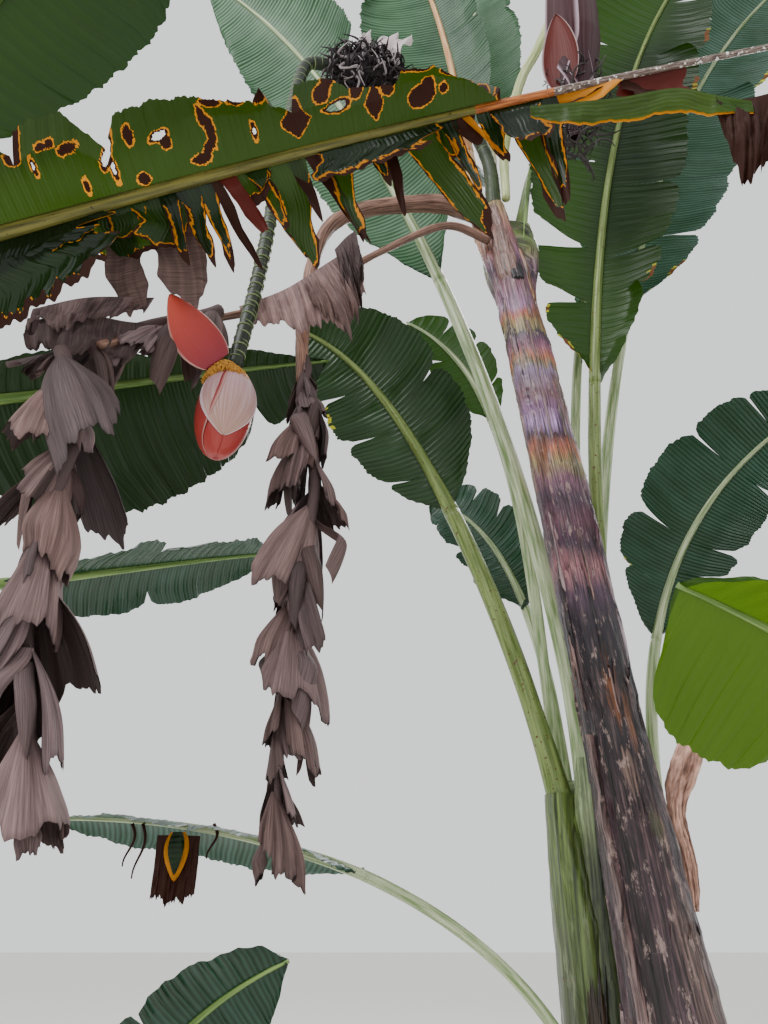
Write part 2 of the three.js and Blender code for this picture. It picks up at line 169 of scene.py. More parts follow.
def line_through(points: np.ndarray, values: np.ndarray, count: int) -> tuple[np.ndarray, np.ndarray]:
    """Rounds a line of points off and spaces it evenly.

    Args:
        points: The points that it passes through.
        values: A number at each point, such as a radius.
        count: How many places to return.

    Returns:
        The places, and the number at each.
    """
    ends = [2 * points[0] - points[1], *points, 2 * points[-1] - points[-2]]
    fine, sizes = [], []
    steps = np.linspace(0, 1, CURVE_STEPS, endpoint=False)[:, None]
    for i in range(1, len(ends) - 2):
        a, b, c, d = (np.asarray(ends[k]) for k in (i - 1, i, i + 1, i + 2))
        fine.append(
            0.5 * (2 * b + (c - a) * steps + (2 * a - 5 * b + 4 * c - d) * steps**2)
            + 0.5 * (3 * b - a - 3 * c + d) * steps**3
        )
        sizes.append(mix(values[i - 1], values[i], steps[:, 0]))
    fine = np.concatenate([*fine, [points[-1]]])
    sizes = np.concatenate([*sizes, [values[-1]]])
    run = run_along(fine)
    at = np.linspace(0, run[-1], count)
    places = np.stack([np.interp(at, run, fine[:, k]) for k in range(3)], axis=1)
    return places, np.interp(at, run, sizes)


def frames_along(places: np.ndarray, facing: np.ndarray) -> tuple[np.ndarray, np.ndarray, np.ndarray]:
    """Directions at each place of a line.

    Args:
        places: The line.
        facing: Where the second direction points as nearly as it can.

    Returns:
        Ahead along the line, across it, and the direction that is square to both, near facing.
    """
    ahead = unit(np.gradient(places, axis=0))
    across = unit(np.cross(ahead, facing))
    return ahead, across, np.cross(across, ahead)


# Meshes


@dataclass
class Skin:
    """Gathers grids of points into one mesh that can have several finishes."""

    points: list[np.ndarray] = field(default_factory=list)
    tints: list[np.ndarray] = field(default_factory=list)
    corners: list[np.ndarray] = field(default_factory=list)
    places: list[np.ndarray] = field(default_factory=list)
    slots: list[np.ndarray] = field(default_factory=list)
    sizes: list[np.ndarray] = field(default_factory=list)
    count: int = 0

    def lay(
        self, grid: np.ndarray, place: np.ndarray, finish: int | np.ndarray = 0,
        keep: np.ndarray | None = None, tint: np.ndarray | None = None, closed: bool = False,
        flip: bool = False, caps: bool = False,
    ) -> None:
        """Adds a grid of points as faces of four corners.

        Args:
            grid: Points as rows, columns and x, y, z.
            place: Pattern coordinates, one column more than the grid where it is closed.
            finish: Number of the finish, or one number for each face.
            keep: Which faces are made; all of them if this is left out.
            tint: Linear colour of each point.
            closed: Whether the last column joins the first.
            flip: Whether the faces look the other way.
            caps: Whether the first and last rows of a closed grid are filled.
        """
        rows, cols = grid.shape[:2]
        index = np.arange(rows * cols).reshape(rows, cols) + self.count
        if closed:
            index = np.concatenate([index, index[:, :1]], axis=1)
        order = [(0, 0), (0, 1), (1, 1), (1, 0)]
        if flip:
            order = order[::-1]
        last_row, last_col = index.shape[0] - 1, index.shape[1] - 1
        picks = [(slice(r, last_row + r), slice(c, last_col + c)) for r, c in order]
        quads = np.stack([index[p] for p in picks], axis=-1).reshape(-1, 4)
        spots = np.stack([place[p] for p in picks], axis=-2).reshape(-1, 4, 2)
        slots = np.broadcast_to(np.asarray(finish), (last_row, last_col)).reshape(-1)
        if keep is not None:
            chosen = keep.reshape(-1)
            quads, spots, slots = quads[chosen], spots[chosen], slots[chosen]
        self.points.append(grid.reshape(-1, 3))
        self.tints.append(np.ones((rows * cols, 4)) if tint is None else tint.reshape(-1, 4))
        self._take(quads, spots, slots)
        if caps:
            for row, turned in ((0, not flip), (rows - 1, flip)):
                ring = index[row, :cols][:: -1 if turned else 1]
                spot = place[row, :cols][:: -1 if turned else 1]
                self._take(ring[None], spot[None], slots[:1])
        self.count += rows * cols

    def _take(self, polygons: np.ndarray, spots: np.ndarray, slots: np.ndarray) -> None:
        """Keeps polygons that all have the same number of corners."""
        self.corners.append(polygons.reshape(-1))
        self.places.append(spots.reshape(-1, 2))
        self.slots.append(slots)
        self.sizes.append(np.full(len(polygons), polygons.shape[1]))

    def build(self, name: str, *finishes: Finish | Enum) -> bpy.types.Object:
        """Makes the mesh object.

        Args:
            name: The piece's name.
            *finishes: What it is made of, in the order of the finish numbers.

        Returns:
            The object, linked to the scene.
        """
        corners = np.concatenate(self.corners)
        used, corners = np.unique(corners, return_inverse=True)
        sizes = np.concatenate(self.sizes)
        starts = np.concatenate([[0], np.cumsum(sizes)[:-1]])
        mesh = bpy.data.meshes.new(name)
        mesh.vertices.add(len(used))
        mesh.vertices.foreach_set("co", np.concatenate(self.points)[used].astype(np.float32).ravel())
        mesh.loops.add(len(corners))
        mesh.loops.foreach_set("vertex_index", corners.astype(np.int32).ravel())
        mesh.polygons.add(len(sizes))
        mesh.polygons.foreach_set("loop_start", starts.astype(np.int32))
        mesh.update(calc_edges=True)
        mesh.polygons.foreach_set("material_index", np.concatenate(self.slots).astype(np.int32))
        mesh.polygons.foreach_set("use_smooth", np.ones(len(sizes), bool))
        layer = mesh.uv_layers.new(name="Place")
        layer.data.foreach_set("uv", np.concatenate(self.places).astype(np.float32).ravel())
        tint = mesh.color_attributes.new("Tint", "FLOAT_COLOR", "POINT")
        tint.data.foreach_set("color", np.concatenate(self.tints)[used].astype(np.float32).ravel())
        for finish in finishes:
            mesh.materials.append(SHOP.get(finish))
        mesh.update()
        return shown(name, mesh)


def shown(name: str, data: bpy.types.ID) -> bpy.types.Object:
    """Puts a mesh, a curve, a lamp or a camera in the scene as an object."""
    thing = bpy.data.objects.new(name, data)
    bpy.context.scene.collection.objects.link(thing)
    return thing


def tube(
    skin: Skin, places: np.ndarray, radii: np.ndarray, sides: int, facing: np.ndarray = BACK,
    tint: np.ndarray | None = None,
) -> None:
    """Adds a round limb along a line.

    Args:
        skin: What it is added to.
        places: The limb's middle line.
        radii: Its radius at each place, or at each place and side.
        sides: How many corners it has round it.
        facing: Direction that its seam keeps away from.
        tint: Linear colour of each point.
    """
    _, across, through = frames_along(places, facing)
    angles = np.linspace(0, 2 * math.pi, sides, endpoint=False)
    radii = np.broadcast_to(radii if radii.ndim == 2 else radii[:, None], (len(places), sides))
    grid = places[:, None] + across[:, None] * (radii * np.cos(angles))[..., None]
    grid = grid + through[:, None] * (radii * np.sin(angles))[..., None]
    place = paired(run_along(places)[:, None], np.linspace(0, 1, sides + 1)[None])
    skin.lay(grid, place, tint=tint, closed=True, flip=True, caps=True)


def dress(piece: bpy.types.Object, slot: str, *nodes: str) -> None:
    """Fixes a finished piece to the plant.

    Args:
        piece: The piece.
        slot: The name of a material slot; not used.
        *nodes: The CAD nodes that it stands for.
    """
    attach(piece, BODY)
    if nodes:
        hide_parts(*nodes)
    LOG.info("%s: %d faces", piece.name, len(piece.data.polygons))


# Finishes


MATH, MIX, RANGE = "ShaderNodeMath", "ShaderNodeMix", "ShaderNodeMapRange"
NOISE, BUMP = "ShaderNodeTexNoise", "ShaderNodeBump"


def add_node(
    tree: bpy.types.NodeTree, kind: str, values: dict | None = None, out: int | str = 0, **settings: object
) -> bpy.types.NodeSocket | None:
    """Adds a node to a tree.

    Args:
        tree: The tree.
        kind: The node's type.
        values: Its inputs by name or number, each a number, a colour or a socket to link.
        out: The output that is wanted.
        **settings: The node's own settings.

    Returns:
        The wanted output, or nothing for a node without one.
    """
    node = tree.nodes.new(kind)
    for name, value in settings.items():
        setattr(node, name, value)
    for name, value in (values or {}).items():
        if isinstance(value, bpy.types.NodeSocket):
            tree.links.new(value, node.inputs[name])
        else:
            node.inputs[name].default_value = value
    return node.outputs[out] if len(node.outputs) else None


@dataclass(frozen=True)
class Finish:
    """What all finishes share: a name, a grain, and skin that can let some light through."""

    name: str

    def make(self) -> bpy.types.Material:
        """Builds the material."""
        material = bpy.data.materials.new(self.name)
        material.use_nodes = True
        material.node_tree.nodes.clear()
        add_node(material.node_tree, "ShaderNodeOutputMaterial", {0: self.paint(material.node_tree)})
        return material

    def paint(self, tree: bpy.types.NodeTree) -> bpy.types.NodeSocket:
        """Wires the finish up and gives its surface, in each kind's own way."""
        raise NotImplementedError

    @staticmethod
    def grain(
        tree: bpy.types.NodeTree, waves: tuple[float, float], detail: float, rough: float = 0.5
    ) -> bpy.types.NodeSocket:
        """Noise that follows the piece.

        Args:
            tree: The material's tree.
            waves: How many waves it has along and across, in a unit of the piece's coordinates.
            detail: How many finer waves are added.
            rough: How strong the finer waves are.

        Returns:
            The noise, from 0 to 1.
        """
        place = add_node(tree, "ShaderNodeUVMap", uv_map="Place")
        stretched = add_node(tree, "ShaderNodeMapping", {"Vector": place, "Scale": (*waves, 1.0)})
        return add_node(
            tree, NOISE, {"Vector": stretched, "Scale": 1.0, "Detail": detail, "Roughness": rough}
        )

    @staticmethod
    def skin(
        tree: bpy.types.NodeTree, look: dict[str, object], glow_share: float, glow: object = None
    ) -> bpy.types.NodeSocket:
        """Skin over soft tissue.

        Args:
            tree: The material's tree.
            look: The skin's inputs.
            glow_share: How much of the light comes through it.
            glow: The colour of that light, the skin's own if this is left out.

        Returns:
            The surface.
        """
        surface = add_node(tree, "ShaderNodeBsdfPrincipled", look)
        if not glow_share:
            return surface
        glow = look["Base Color"] if glow is None else glow
        through = add_node(tree, "ShaderNodeBsdfTranslucent", {"Color": glow})
        return add_node(tree, "ShaderNodeMixShader", {0: glow_share, 1: surface, 2: through})


@dataclass(frozen=True)
class Lamina(Finish):
    """Living leaf blade: waxy skin over soft green tissue, pressed into fine ribs by its side veins.

    The ribs are painted as pale stripes, a painted highlight where they catch the light, and light from
    behind makes the blade glow yellow-green.
    """

    dark: str
    light: str
    glow: str
    stripe: float = 14 * MM  # real side veins are 6 to 10 mm apart, drawn coarser so that they show
    # how strong the painted highlight stripes on the ribs are
    contrast: float = 0.5
    shine: float = 0.38
    glow_share: float = 0.35
    relief: float = 1.2 * MM

    def paint(self, tree: bpy.types.NodeTree) -> bpy.types.NodeSocket:
        """Wires up the ribs, and blotches that are some hands wide.

        Args:
            tree: The material's tree.

        Returns:
            The surface.
        """
        place = add_node(tree, "ShaderNodeUVMap", uv_map="Place")
        along = add_node(tree, "ShaderNodeSeparateXYZ", {0: place})
        uneven = self.grain(tree, (1 / self.stripe / 3, 6.0), 2.0)
        turns = {0: along, 1: 2 * math.pi / self.stripe, 2: uneven}
        phase = add_node(tree, MATH, turns, operation="MULTIPLY_ADD")
        wave = add_node(tree, MATH, {0: phase}, operation="SINE")
        ribs = add_node(tree, MATH, {0: wave, 1: 0.5, 2: 0.5}, operation="MULTIPLY_ADD")
        coords = add_node(tree, "ShaderNodeTexCoord", out="Object")
        blotch = add_node(tree, NOISE, {"Vector": coords, "Scale": 3.5, "Detail": 3.0})
        limits = {"From Min": 0.35, "From Max": 0.65, "To Min": -0.18, "To Max": 0.18}
        shade = add_node(tree, RANGE, {"Value": blotch, **limits})
        # the ribs' pale stripes are painted highlights, mixed with the blotches
        share = add_node(tree, MATH, {0: ribs, 1: self.contrast, 2: uneven}, operation="MULTIPLY_ADD")
        lowered = add_node(tree, MATH, {0: share, 1: 0.45}, operation="SUBTRACT")
        total = add_node(tree, MATH, {0: lowered, 1: shade}, operation="ADD", use_clamp=True)
        colour, glowing = (
            add_node(tree, MIX, {0: total, 6: linear(deep), 7: linear(self.light)}, 2, data_type="RGBA")
            for deep in (self.dark, self.glow)
        )
        bump = add_node(tree, BUMP, {"Height": ribs, "Distance": self.relief, "Strength": 0.8})
        look = {"Base Color": colour, "Roughness": self.shine, "Specular IOR Level": 0.35, "Normal": bump}
        return self.skin(tree, look, self.glow_share, glowing)


@dataclass(frozen=True)
class Streaked(Finish):
    """Plant skin with long fibres: leaf stalks, dead blades and dried stalks.

    Streaks run along the piece, from dark to light, with specks where the skin is bruised; on the bare dead
    rib the pale specks are painted wet highlights.
    """

    dark: str
    light: str
    speck: str
    roughness: float = 0.45
    streak: float = 4 * MM
    streak_length: float = 220 * MM
    around: float = 0.12
    low: float = 0.38
    high: float = 0.62
    speck_share: float = 0.0
    coat: float = 0.0
    relief: float = 1.0 * MM
    glow_share: float = 0.0
    tinted: bool = False
    pale: str = "#b9a09a"
    cracks: float = 0.0  # how dark the fine lengthwise cracks are
    scurf: float = 0.0  # how much of the dry, flaky skin shows its pale side
    flake: tuple[float, float] = (14.0, 24.0)  # flakes in a metre of its length, and round it

    def paint(self, tree: bpy.types.NodeTree) -> bpy.types.NodeSocket:
        """Wires up fibres, flakes, cracks and specks. Coordinates are metres along and a share round.

        Args:
            tree: The material's tree.

        Returns:
            The surface.
        """
        long, thin = 1 / self.streak_length, self.around / self.streak
        fibres = self.grain(tree, (long, thin), 4.0, 0.6)
        share = add_node(tree, RANGE, {"Value": fibres, "From Min": self.low, "From Max": self.high})
        ends = {6: linear(self.dark), 7: linear(self.light)}
        colour = add_node(tree, MIX, {0: share, **ends}, 2, data_type="RGBA")
        if self.tinted:
            tint = add_node(tree, "ShaderNodeAttribute", attribute_name="Tint")
            both = {0: 1.0, 6: colour, 7: tint}
            colour = add_node(tree, MIX, both, 2, data_type="RGBA", blend_type="MULTIPLY")
        layers = []
        if self.scurf:
            layers.append((self.grain(tree, self.flake, 7.0, 0.72), 0.57, 0.62, self.scurf, self.pale))
        if self.cracks:
            layers.append(
                (self.grain(tree, (long, 2.6 * thin), 5.0, 0.7), 0.45, 0.36, self.cracks, self.speck)
            )
        if self.speck_share:
            coords = add_node(tree, "ShaderNodeTexCoord", out="Object")
            spots = add_node(tree, NOISE, {"Vector": coords, "Scale": 90.0, "Detail": 2.0})
            layers.append((spots, 0.72 - self.speck_share, 0.78 - self.speck_share, 1.0, self.speck))
        for pattern, low, high, most, upper in layers:
            share = add_node(
                tree, RANGE, {"Value": pattern, "From Min": low, "From Max": high, "To Max": most}
            )
            colour = add_node(tree, MIX, {0: share, 6: colour, 7: linear(upper)}, 2, data_type="RGBA")
        bump = add_node(tree, BUMP, {"Height": fibres, "Distance": self.relief, "Strength": 0.9})
        look = {"Base Color": colour, "Roughness": self.roughness, "Specular IOR Level": 0.35, "Normal": bump}
        coat = {"Coat Weight": self.coat, "Coat Roughness": 0.2}
        return self.skin(tree, look | coat, self.glow_share)


@dataclass(frozen=True)
class Plain(Finish):
    """Even plant tissue of one colour, such as a burnt rim, a yellowed edge or a dried flower."""

    colour: str
    roughness: float = 0.6
    glow_share: float = 0.0

    def paint(self, tree: bpy.types.NodeTree) -> bpy.types.NodeSocket:
        """Wires up dull, even skin.

        Args:
            tree: The material's tree.

        Returns:
            The surface.
        """
        look = {"Base Color": linear(self.colour), "Roughness": self.roughness, "Specular IOR Level": 0.25}
        return self.skin(tree, look, self.glow_share)


@dataclass(frozen=True)
class Bract(Finish):
    """Leathery flower bract: waxy, smooth and finely veined, with a colour that turns from root to tip.

    Pattern coordinates are the share of the way to the tip and, from -1 to 1, the place across.
    """

    root: str
    tip: str
    margin: str
    shine: float = 0.35
    vein: float = 0.18
    glow_share: float = 0.15
    gloss: float = 0.5

    def paint(self, tree: bpy.types.NodeTree) -> bpy.types.NodeSocket:
        """Wires up the turn of colour, the veins and the margin.

        Args:
            tree: The material's tree.

        Returns:
            The surface.
        """
        along = add_node(
            tree, "ShaderNodeSeparateXYZ", {0: add_node(tree, "ShaderNodeUVMap", uv_map="Place")}
        )
        run = add_node(tree, MIX, {0: along, 6: linear(self.root), 7: linear(self.tip)}, 2, data_type="RGBA")
        veins = self.grain(tree, (1.2, 14.0), 3.0)
        aside = add_node(tree, MATH, {0: along.node.outputs[1]}, operation="ABSOLUTE")
        lifted = add_node(
            tree, RANGE, {"Value": veins, "From Min": 0.4, "From Max": 0.7, "To Max": self.vein}
        )
        edge = add_node(tree, RANGE, {"Value": aside, "From Min": 0.91, "From Max": 0.97})
        for share in (lifted, edge):
            run = add_node(tree, MIX, {0: share, 6: run, 7: linear(self.margin)}, 2, data_type="RGBA")
        bump = add_node(tree, BUMP, {"Height": veins, "Distance": 0.8 * MM})
        look = {"Base Color": run, "Roughness": self.shine, "Specular IOR Level": self.gloss, "Normal": bump}
        return self.skin(tree, look, self.glow_share)


class Green(Enum):
    """The kinds of living blade. BRIGHT, MID and DARK run from sunlit to shaded, partly in painted light and
    shade.
    """

    # a sunlit copy of the green, partly painted light
    BRIGHT = Lamina("bright_blade", "#264809", "#4f7418", "#6d9215", contrast=0.2, glow_share=0.42)
    BACKLIT = Lamina(
        "backlit_blade", "#092105", "#1c3c0a", "#385c08", contrast=0.3, stripe=18 * MM, glow_share=0.3
    )
    MID = Lamina("mid_blade", "#0b2208", "#204016", "#365a0f", contrast=0.4, stripe=20 * MM, glow_share=0.28)
    GLOSSY = Lamina(
        "glossy_blade", "#0b1e0d", "#2b4726", "#2f5117", contrast=0.6, stripe=20 * MM, shine=0.24,
        glow_share=0.14, relief=2.2 * MM,
    )
    # a shaded copy of the green, painted shade; the holed leaf's SHADED strips are painted in it
    DARK = Lamina("dark_blade", "#0b1a08", "#1a3215", "#294714", contrast=0.25, shine=0.3, glow_share=0.15)
    # the pale blue-grey is partly the wax bloom's own colour and partly painted sky reflection
    BLOOM = Lamina(
        "bloomed_blade", "#153722", "#527357", "#315c2e", contrast=0.85, stripe=19 * MM, glow_share=0.22
    )
    # the pale blue-grey is partly the wax bloom's own colour and partly painted sky reflection
    GREY = Lamina(
        "grey_blade", "#172e23", "#47665a", "#305230", contrast=0.7, stripe=16 * MM, glow_share=0.18
    )
    HOLED = Lamina(
        "holed_blade", "#1a3208", "#324d12", "#466215", contrast=0.15, stripe=11 * MM, glow_share=0.28
    )
    WET = Lamina(
        "wet_blade", "#0f2417", "#2f5040", "#2c5424", contrast=0.6, stripe=13 * MM, shine=0.2, glow_share=0.1
    )


class Stalk(Enum):
    """The kinds of leaf stalk and midrib."""

    STRIPED = Streaked("striped_stalk", "#6f8752", "#c2cca8", "#6a4a34", around=0.1, streak=9 * MM, coat=0.2)
    OLIVE = Streaked(
        "speckled_stalk", "#56692b", "#86985a", "#5c3524", around=0.15, streak=10 * MM, speck_share=0.085,
        coat=0.25
    )
    PEACH = Streaked("peach_stalk", "#c07a42", "#e8c89a", "#8a4a2a", around=0.1, streak=10 * MM, coat=0.2)
    CREAM = Streaked("cream_stalk", "#b3ae6c", "#ece6c2", "#7a6a40", around=0.1, streak=9 * MM, coat=0.2)
    GREEN = Streaked("green_stalk", "#4f7030", "#88a35a", "#4a3a24", around=0.1, streak=10 * MM, coat=0.2)
    OLD_RIB = Streaked(
        "old_rib", "#4b4a22", "#7a7434", "#33240f", around=0.09, streak=8 * MM, speck_share=0.05
    )
    RUST = Streaked(
        "rust_rib", "#7a3f1c", "#c8763a", "#3a1c10", around=0.08, streak=5 * MM, streak_length=60 * MM
    )
    # its near-white specks are painted wet highlights on the dead rib
    BARE = Streaked(
        "bare_dead_rib", "#3c2c26", "#8c7b72", "#e4e0dc", around=0.08, streak=5 * MM, streak_length=40 * MM,
        speck_share=0.14, roughness=0.3,
    )


class Dead(Enum):
    """The kinds of dead, burnt and yellowed tissue."""

    PAPER = Streaked(
        "dead_blade_paper", "#544446", "#8c7776", "#3a2a26", around=1.0, streak=5 * MM,
        streak_length=120 * MM, low=0.3, high=0.7, roughness=0.75, relief=1.2 * MM, glow_share=0.08,
        tinted=True,
    )
    STALK = Streaked(
        "dead_stalk_skin", "#54392f", "#b08c7c", "#33221c", around=0.2, streak=6 * MM, streak_length=160 * MM,
        roughness=0.55, relief=2 * MM, tinted=True,
    )
    BURNT = Plain("burnt_blade", "#33170f", roughness=0.7, glow_share=0.1)
    HALO = Plain("yellow_halo", "#d98a18", roughness=0.5, glow_share=0.4)
    RED = Plain("red_dying_blade", "#561a14", roughness=0.55, glow_share=0.1)
    DRY = Plain("dry_margin", "#6b4428", roughness=0.75, glow_share=0.15)
    YELLOWED = Plain("yellowed_margin", "#a3a02c", roughness=0.5, glow_share=0.4)


STEM_SKIN = {
    "wet_dark_sheath": Streaked(
        "wet_dark_sheath", "#45383f", "#efe2e4", "#120c10", around=0.6, streak=5 * MM, streak_length=150 * MM,
        roughness=0.4, coat=0.25, relief=4 * MM, low=0.36, high=0.6, tinted=True, cracks=0.95, scurf=0.6,
        flake=(13.0, 26.0), pale="#a88f88",
    ),
    "green_sheath": Streaked(
        "green_sheath", "#5f6852", "#eef2e4", "#1c1a12", around=0.7, streak=8 * MM, streak_length=400 * MM,
        roughness=0.36, coat=0.4, relief=2 * MM, low=0.36, high=0.62, tinted=True, cracks=0.35,
        pale="#7f8a66", scurf=0.5, flake=(4.0, 24.0),
    ),
}


class Tissue(IntEnum):
    """Numbers of the finishes on a leaf's mesh."""

    GREEN = 0
    DRY = 1
    YELLOWED = 2
    SKIN = 3
    HALO = 4
    BURNT = 5
    RUST = 6
    BARE = 7
    SHADED = 8
    PAPER = 9
    RED = 10


class Shop:
    """Makes each material once."""

    def __init__(self) -> None:
        """Starts with no material made."""
        self.made: dict[str, bpy.types.Material] = {}

    def get(self, finish: Finish | Enum) -> bpy.types.Material:
        """Gives the material of a finish, or of an Enum's member that holds one."""
        recipe = finish.value if isinstance(finish, Enum) else finish
        if recipe.name not in self.made:
            self.made[recipe.name] = recipe.make()
        return self.made[recipe.name]


SHOP = Shop()


# Stems


@dataclass(frozen=True)
class Patch:
    """A place on a stem where its skin has another colour; some patches are painted shade instead."""

    height: float
    side: float
    tall: float
    wide: float
    colour: str


@dataclass(frozen=True)
class Stem:
    """A false stem: a tapering column of leaf sheaths wrapped round each other."""

    name: str
    foot: tuple[float, float]
    top: tuple[float, float]
    bow: float
    tall: float
    girths: tuple[tuple[float, float], ...]
    slot: str = "green_sheath"
    colours: tuple[str, ...] = ("#6f8038", "#8f9c5a", "#4b5f2c")
    patches: tuple[Patch, ...] = ()
    colour_and_highlight_bands: tuple[tuple[float, str], ...] = ()  # heights from the top down, each with the skin's colour there, some lightened by painted wet highlights
    contrast: float = 0.6
    sheaths: int = 3
    step: float = 5 * MM
    seed: int = 1
    sides: int = 96
    ring_gap: float = 14 * MM

    def middle(self, height: np.ndarray | float) -> np.ndarray:
        """The stem's middle at a height."""
        t = np.asarray(height) / self.tall
        way = (1 - self.bow) * t + self.bow * t * t
        x, y = mix(self.foot[0], self.top[0], way), mix(self.foot[1], self.top[1], way)
        return paired(x, y, height)

    def radius(self, height: np.ndarray | float) -> np.ndarray:
        """The stem's radius at a height."""
        heights, widths = zip(*self.girths)
        return np.interp(height, heights, widths) / 2

    def relief(self, height: np.ndarray, angle: np.ndarray) -> np.ndarray:
        """How far the skin stands out: the steps of the sheath edges, and long ridges.

        Args:
            height: Heights of the points.
            angle: Angles round the stem, in radians.

        Returns:
            The distance in metres.
        """
        turn = angle / (2 * math.pi)
        edge = turn * self.sheaths + height * 0.35 + 0.09 * wander(height, self.seed, 0.9)
        lap = (edge % 1.0) ** 1.5
        ridges = np.sin(2 * math.pi * (turn * 17 + 0.12 * wander(height, self.seed + 1, 0.6)))
        fine = mottle(turn * 3.0, height * 0.45, self.seed + 2, 0.12)
        return self.step * (lap - 0.6) + 1.0 * MM * ridges + 1.4 * MM * fine

    def skin_colours(self, height: np.ndarray, angle: np.ndarray) -> np.ndarray:
        """The colour of each point: long streaks of the stem's own colours, then its patches.

        Args:
            height: Heights of the points.
            angle: Angles round the stem, in radians.

        Returns:
            Linear colours.
        """
        base, pale, deep = (np.array(linear(c)) for c in self.colours[:3])
        turn = angle / (2 * math.pi)
        fibres = mottle(turn * 9.0, height * 0.45, self.seed + 3, 0.3)
        broad = mottle(turn * 2.5, height * 0.3, self.seed + 4, 0.4)
        colour = np.broadcast_to(base, (*angle.shape, 4))
        # the bands give the colour at each height, some lightened by painted wet highlights
        if self.colour_and_highlight_bands:
            heights = np.array([band[0] for band in self.colour_and_highlight_bands])[::-1]
            shades = np.array([linear(band[1]) for band in self.colour_and_highlight_bands])[::-1]
            shift = 0.022 * wander(turn, self.seed + 5, 0.45) + 0.012 * fibres
            shifted = height + shift
            colour = np.stack([np.interp(shifted, heights, shades[:, k]) for k in range(4)], axis=-1)
        for n, patch in enumerate(self.patches):
            aside = (np.degrees(angle) - patch.side + 180) % 360 - 180
            away = np.hypot((height - patch.height) / patch.tall, aside / patch.wide)
            away = away + 0.45 * mottle(turn * 12.0, height * 0.6, self.seed + 20 + n, 0.3)
            colour = mix(colour, np.array(linear(patch.colour)), 0.85 * ease((1.05 - away) / 0.3)[..., None])
        colour = mix(colour, pale, (self.contrast * ease(fibres * 1.4 - 0.35))[..., None])
        return mix(colour, deep, (self.contrast * ease(-fibres * 1.2 - 0.1 + 0.5 * broad))[..., None])

    def surface(self, height: np.ndarray, angle: np.ndarray) -> np.ndarray:
        """The distance of the skin from the stem's middle line."""
        return self.radius(height) + self.relief(height, angle) * np.clip(self.radius(height) / 0.09, 0.35, 1)

    def at(self, height: np.ndarray, angle: np.ndarray, radius: np.ndarray) -> np.ndarray:
        """Places round the stem, at so many metres from its middle line."""
        return self.middle(height + 0 * angle) + spoke(angle, radius)

    def build(self) -> None:
        """Builds the stem's skin."""
        height = np.linspace(0, self.tall, int(self.tall / self.ring_gap))[:, None]
        angle = np.linspace(0, 2 * math.pi, self.sides, endpoint=False)[None]
        grid = self.at(height, angle, self.surface(height, angle))
        tint = self.skin_colours(height + 0 * angle, angle + 0 * height)
        place = paired(height, np.linspace(0, 1, self.sides + 1)[None])
        skin = Skin()
        skin.lay(grid, place, tint=tint, closed=True, caps=True)
        dress(skin.build(f"{self.name}_stem_sheaths", STEM_SKIN[self.slot]), self.slot, f"{self.name}_stem")


MAIN_STEM = Stem(
    "main", (0, 0), (-0.354, 0), 0.29, 4.21,
    ((0, 0.36), (0.35, 0.3), (1.34, 0.244), (1.99, 0.183), (3.49, 0.157), (3.9, 0.124), (4.21, 0.084)),
    slot="wet_dark_sheath", colours=("#5a4648", "#a88f8c", "#1f161c"), contrast=0.4, seed=11, sides=120,
    ring_gap=9 * MM, step=7 * MM,
    # from about 2.45 m up the bands are lightened by painted wet highlights, the pale lavender and pink ones
    # most
    colour_and_highlight_bands=(
        (4.21, "#c4b577"), (4.08, "#ce9884"), (3.98, "#b2757d"), (3.88, "#a77ba0"), (3.81, "#503350"),
        (3.74, "#a16b7b"), (3.62, "#bf96c3"), (3.585, "#d86d43"), (3.55, "#c6af64"), (3.505, "#a9a670"),
        (3.488, "#302133"), (3.45, "#794870"), (3.41, "#b87591"), (3.375, "#d87e49"), (3.34, "#a49d70"),
        (3.31, "#a38fb9"), (3.20, "#8a5967"), (3.09, "#d7b6f5"), (3.035, "#583b56"), (2.985, "#fa9165"),
        (2.93, "#cabf78"), (2.87, "#9d6f86"), (2.79, "#4b314b"), (2.70, "#744459"), (2.61, "#482e48"),
        (2.545, "#be868c"), (2.47, "#5d435d"), (2.37, "#2e1f30"), (2.24, "#1d131f"), (2.13, "#321e25"),
        (2.0, "#281b26"), (1.85, "#422e36"), (1.7, "#4e3942"), (1.5, "#533f47"), (1.3, "#5a4750"),
        (1.0, "#4c393f"), (0.5, "#3e2d31"), (0.0, "#2b1e23"),
    ),
    patches=tuple(Patch(*row) for row in (
        (3.60, -42, 0.10, 22, "#8f5a30"), (3.20, -40, 0.14, 22, "#80502e"), (2.98, -50, 0.05, 24, "#a8612f"),
        (2.90, -55, 0.05, 26, "#77793c"), (2.96, -130, 0.10, 24, "#8c5a3a"), (2.16, -95, 0.12, 9, "#965a30"),
        (2.05, -75, 0.10, 7, "#8c5c38"), (1.92, -95, 0.06, 12, "#9a8274"), (1.78, -70, 0.05, 12, "#65683a"),
        (1.35, -60, 0.30, 30, "#86736a"), (1.40, -125, 0.40, 16, "#2c2224"),
    )),
)
SECOND_STEM = Stem(
    "second", (-0.19, 0.33), (-0.168, 0.255), 0, 1.95,
    ((0, 0.33), (0.3, 0.29), (1.3, 0.254), (1.6, 0.222), (1.76, 0.15), (1.95, 0.084)), seed=21,
    colours=("#434e2c", "#747f58", "#1f2a19"), sheaths=4, contrast=0.42,
    # the first patch, large and dark green on the stem's right side, is painted shade
    patches=tuple(Patch(*row) for row in (
        (1.3, -50, 1.2, 58, "#232f1c"), (1.45, -125, 0.5, 14, "#65734a"), (0.7, -150, 0.5, 50, "#54523a"),
    )),
)
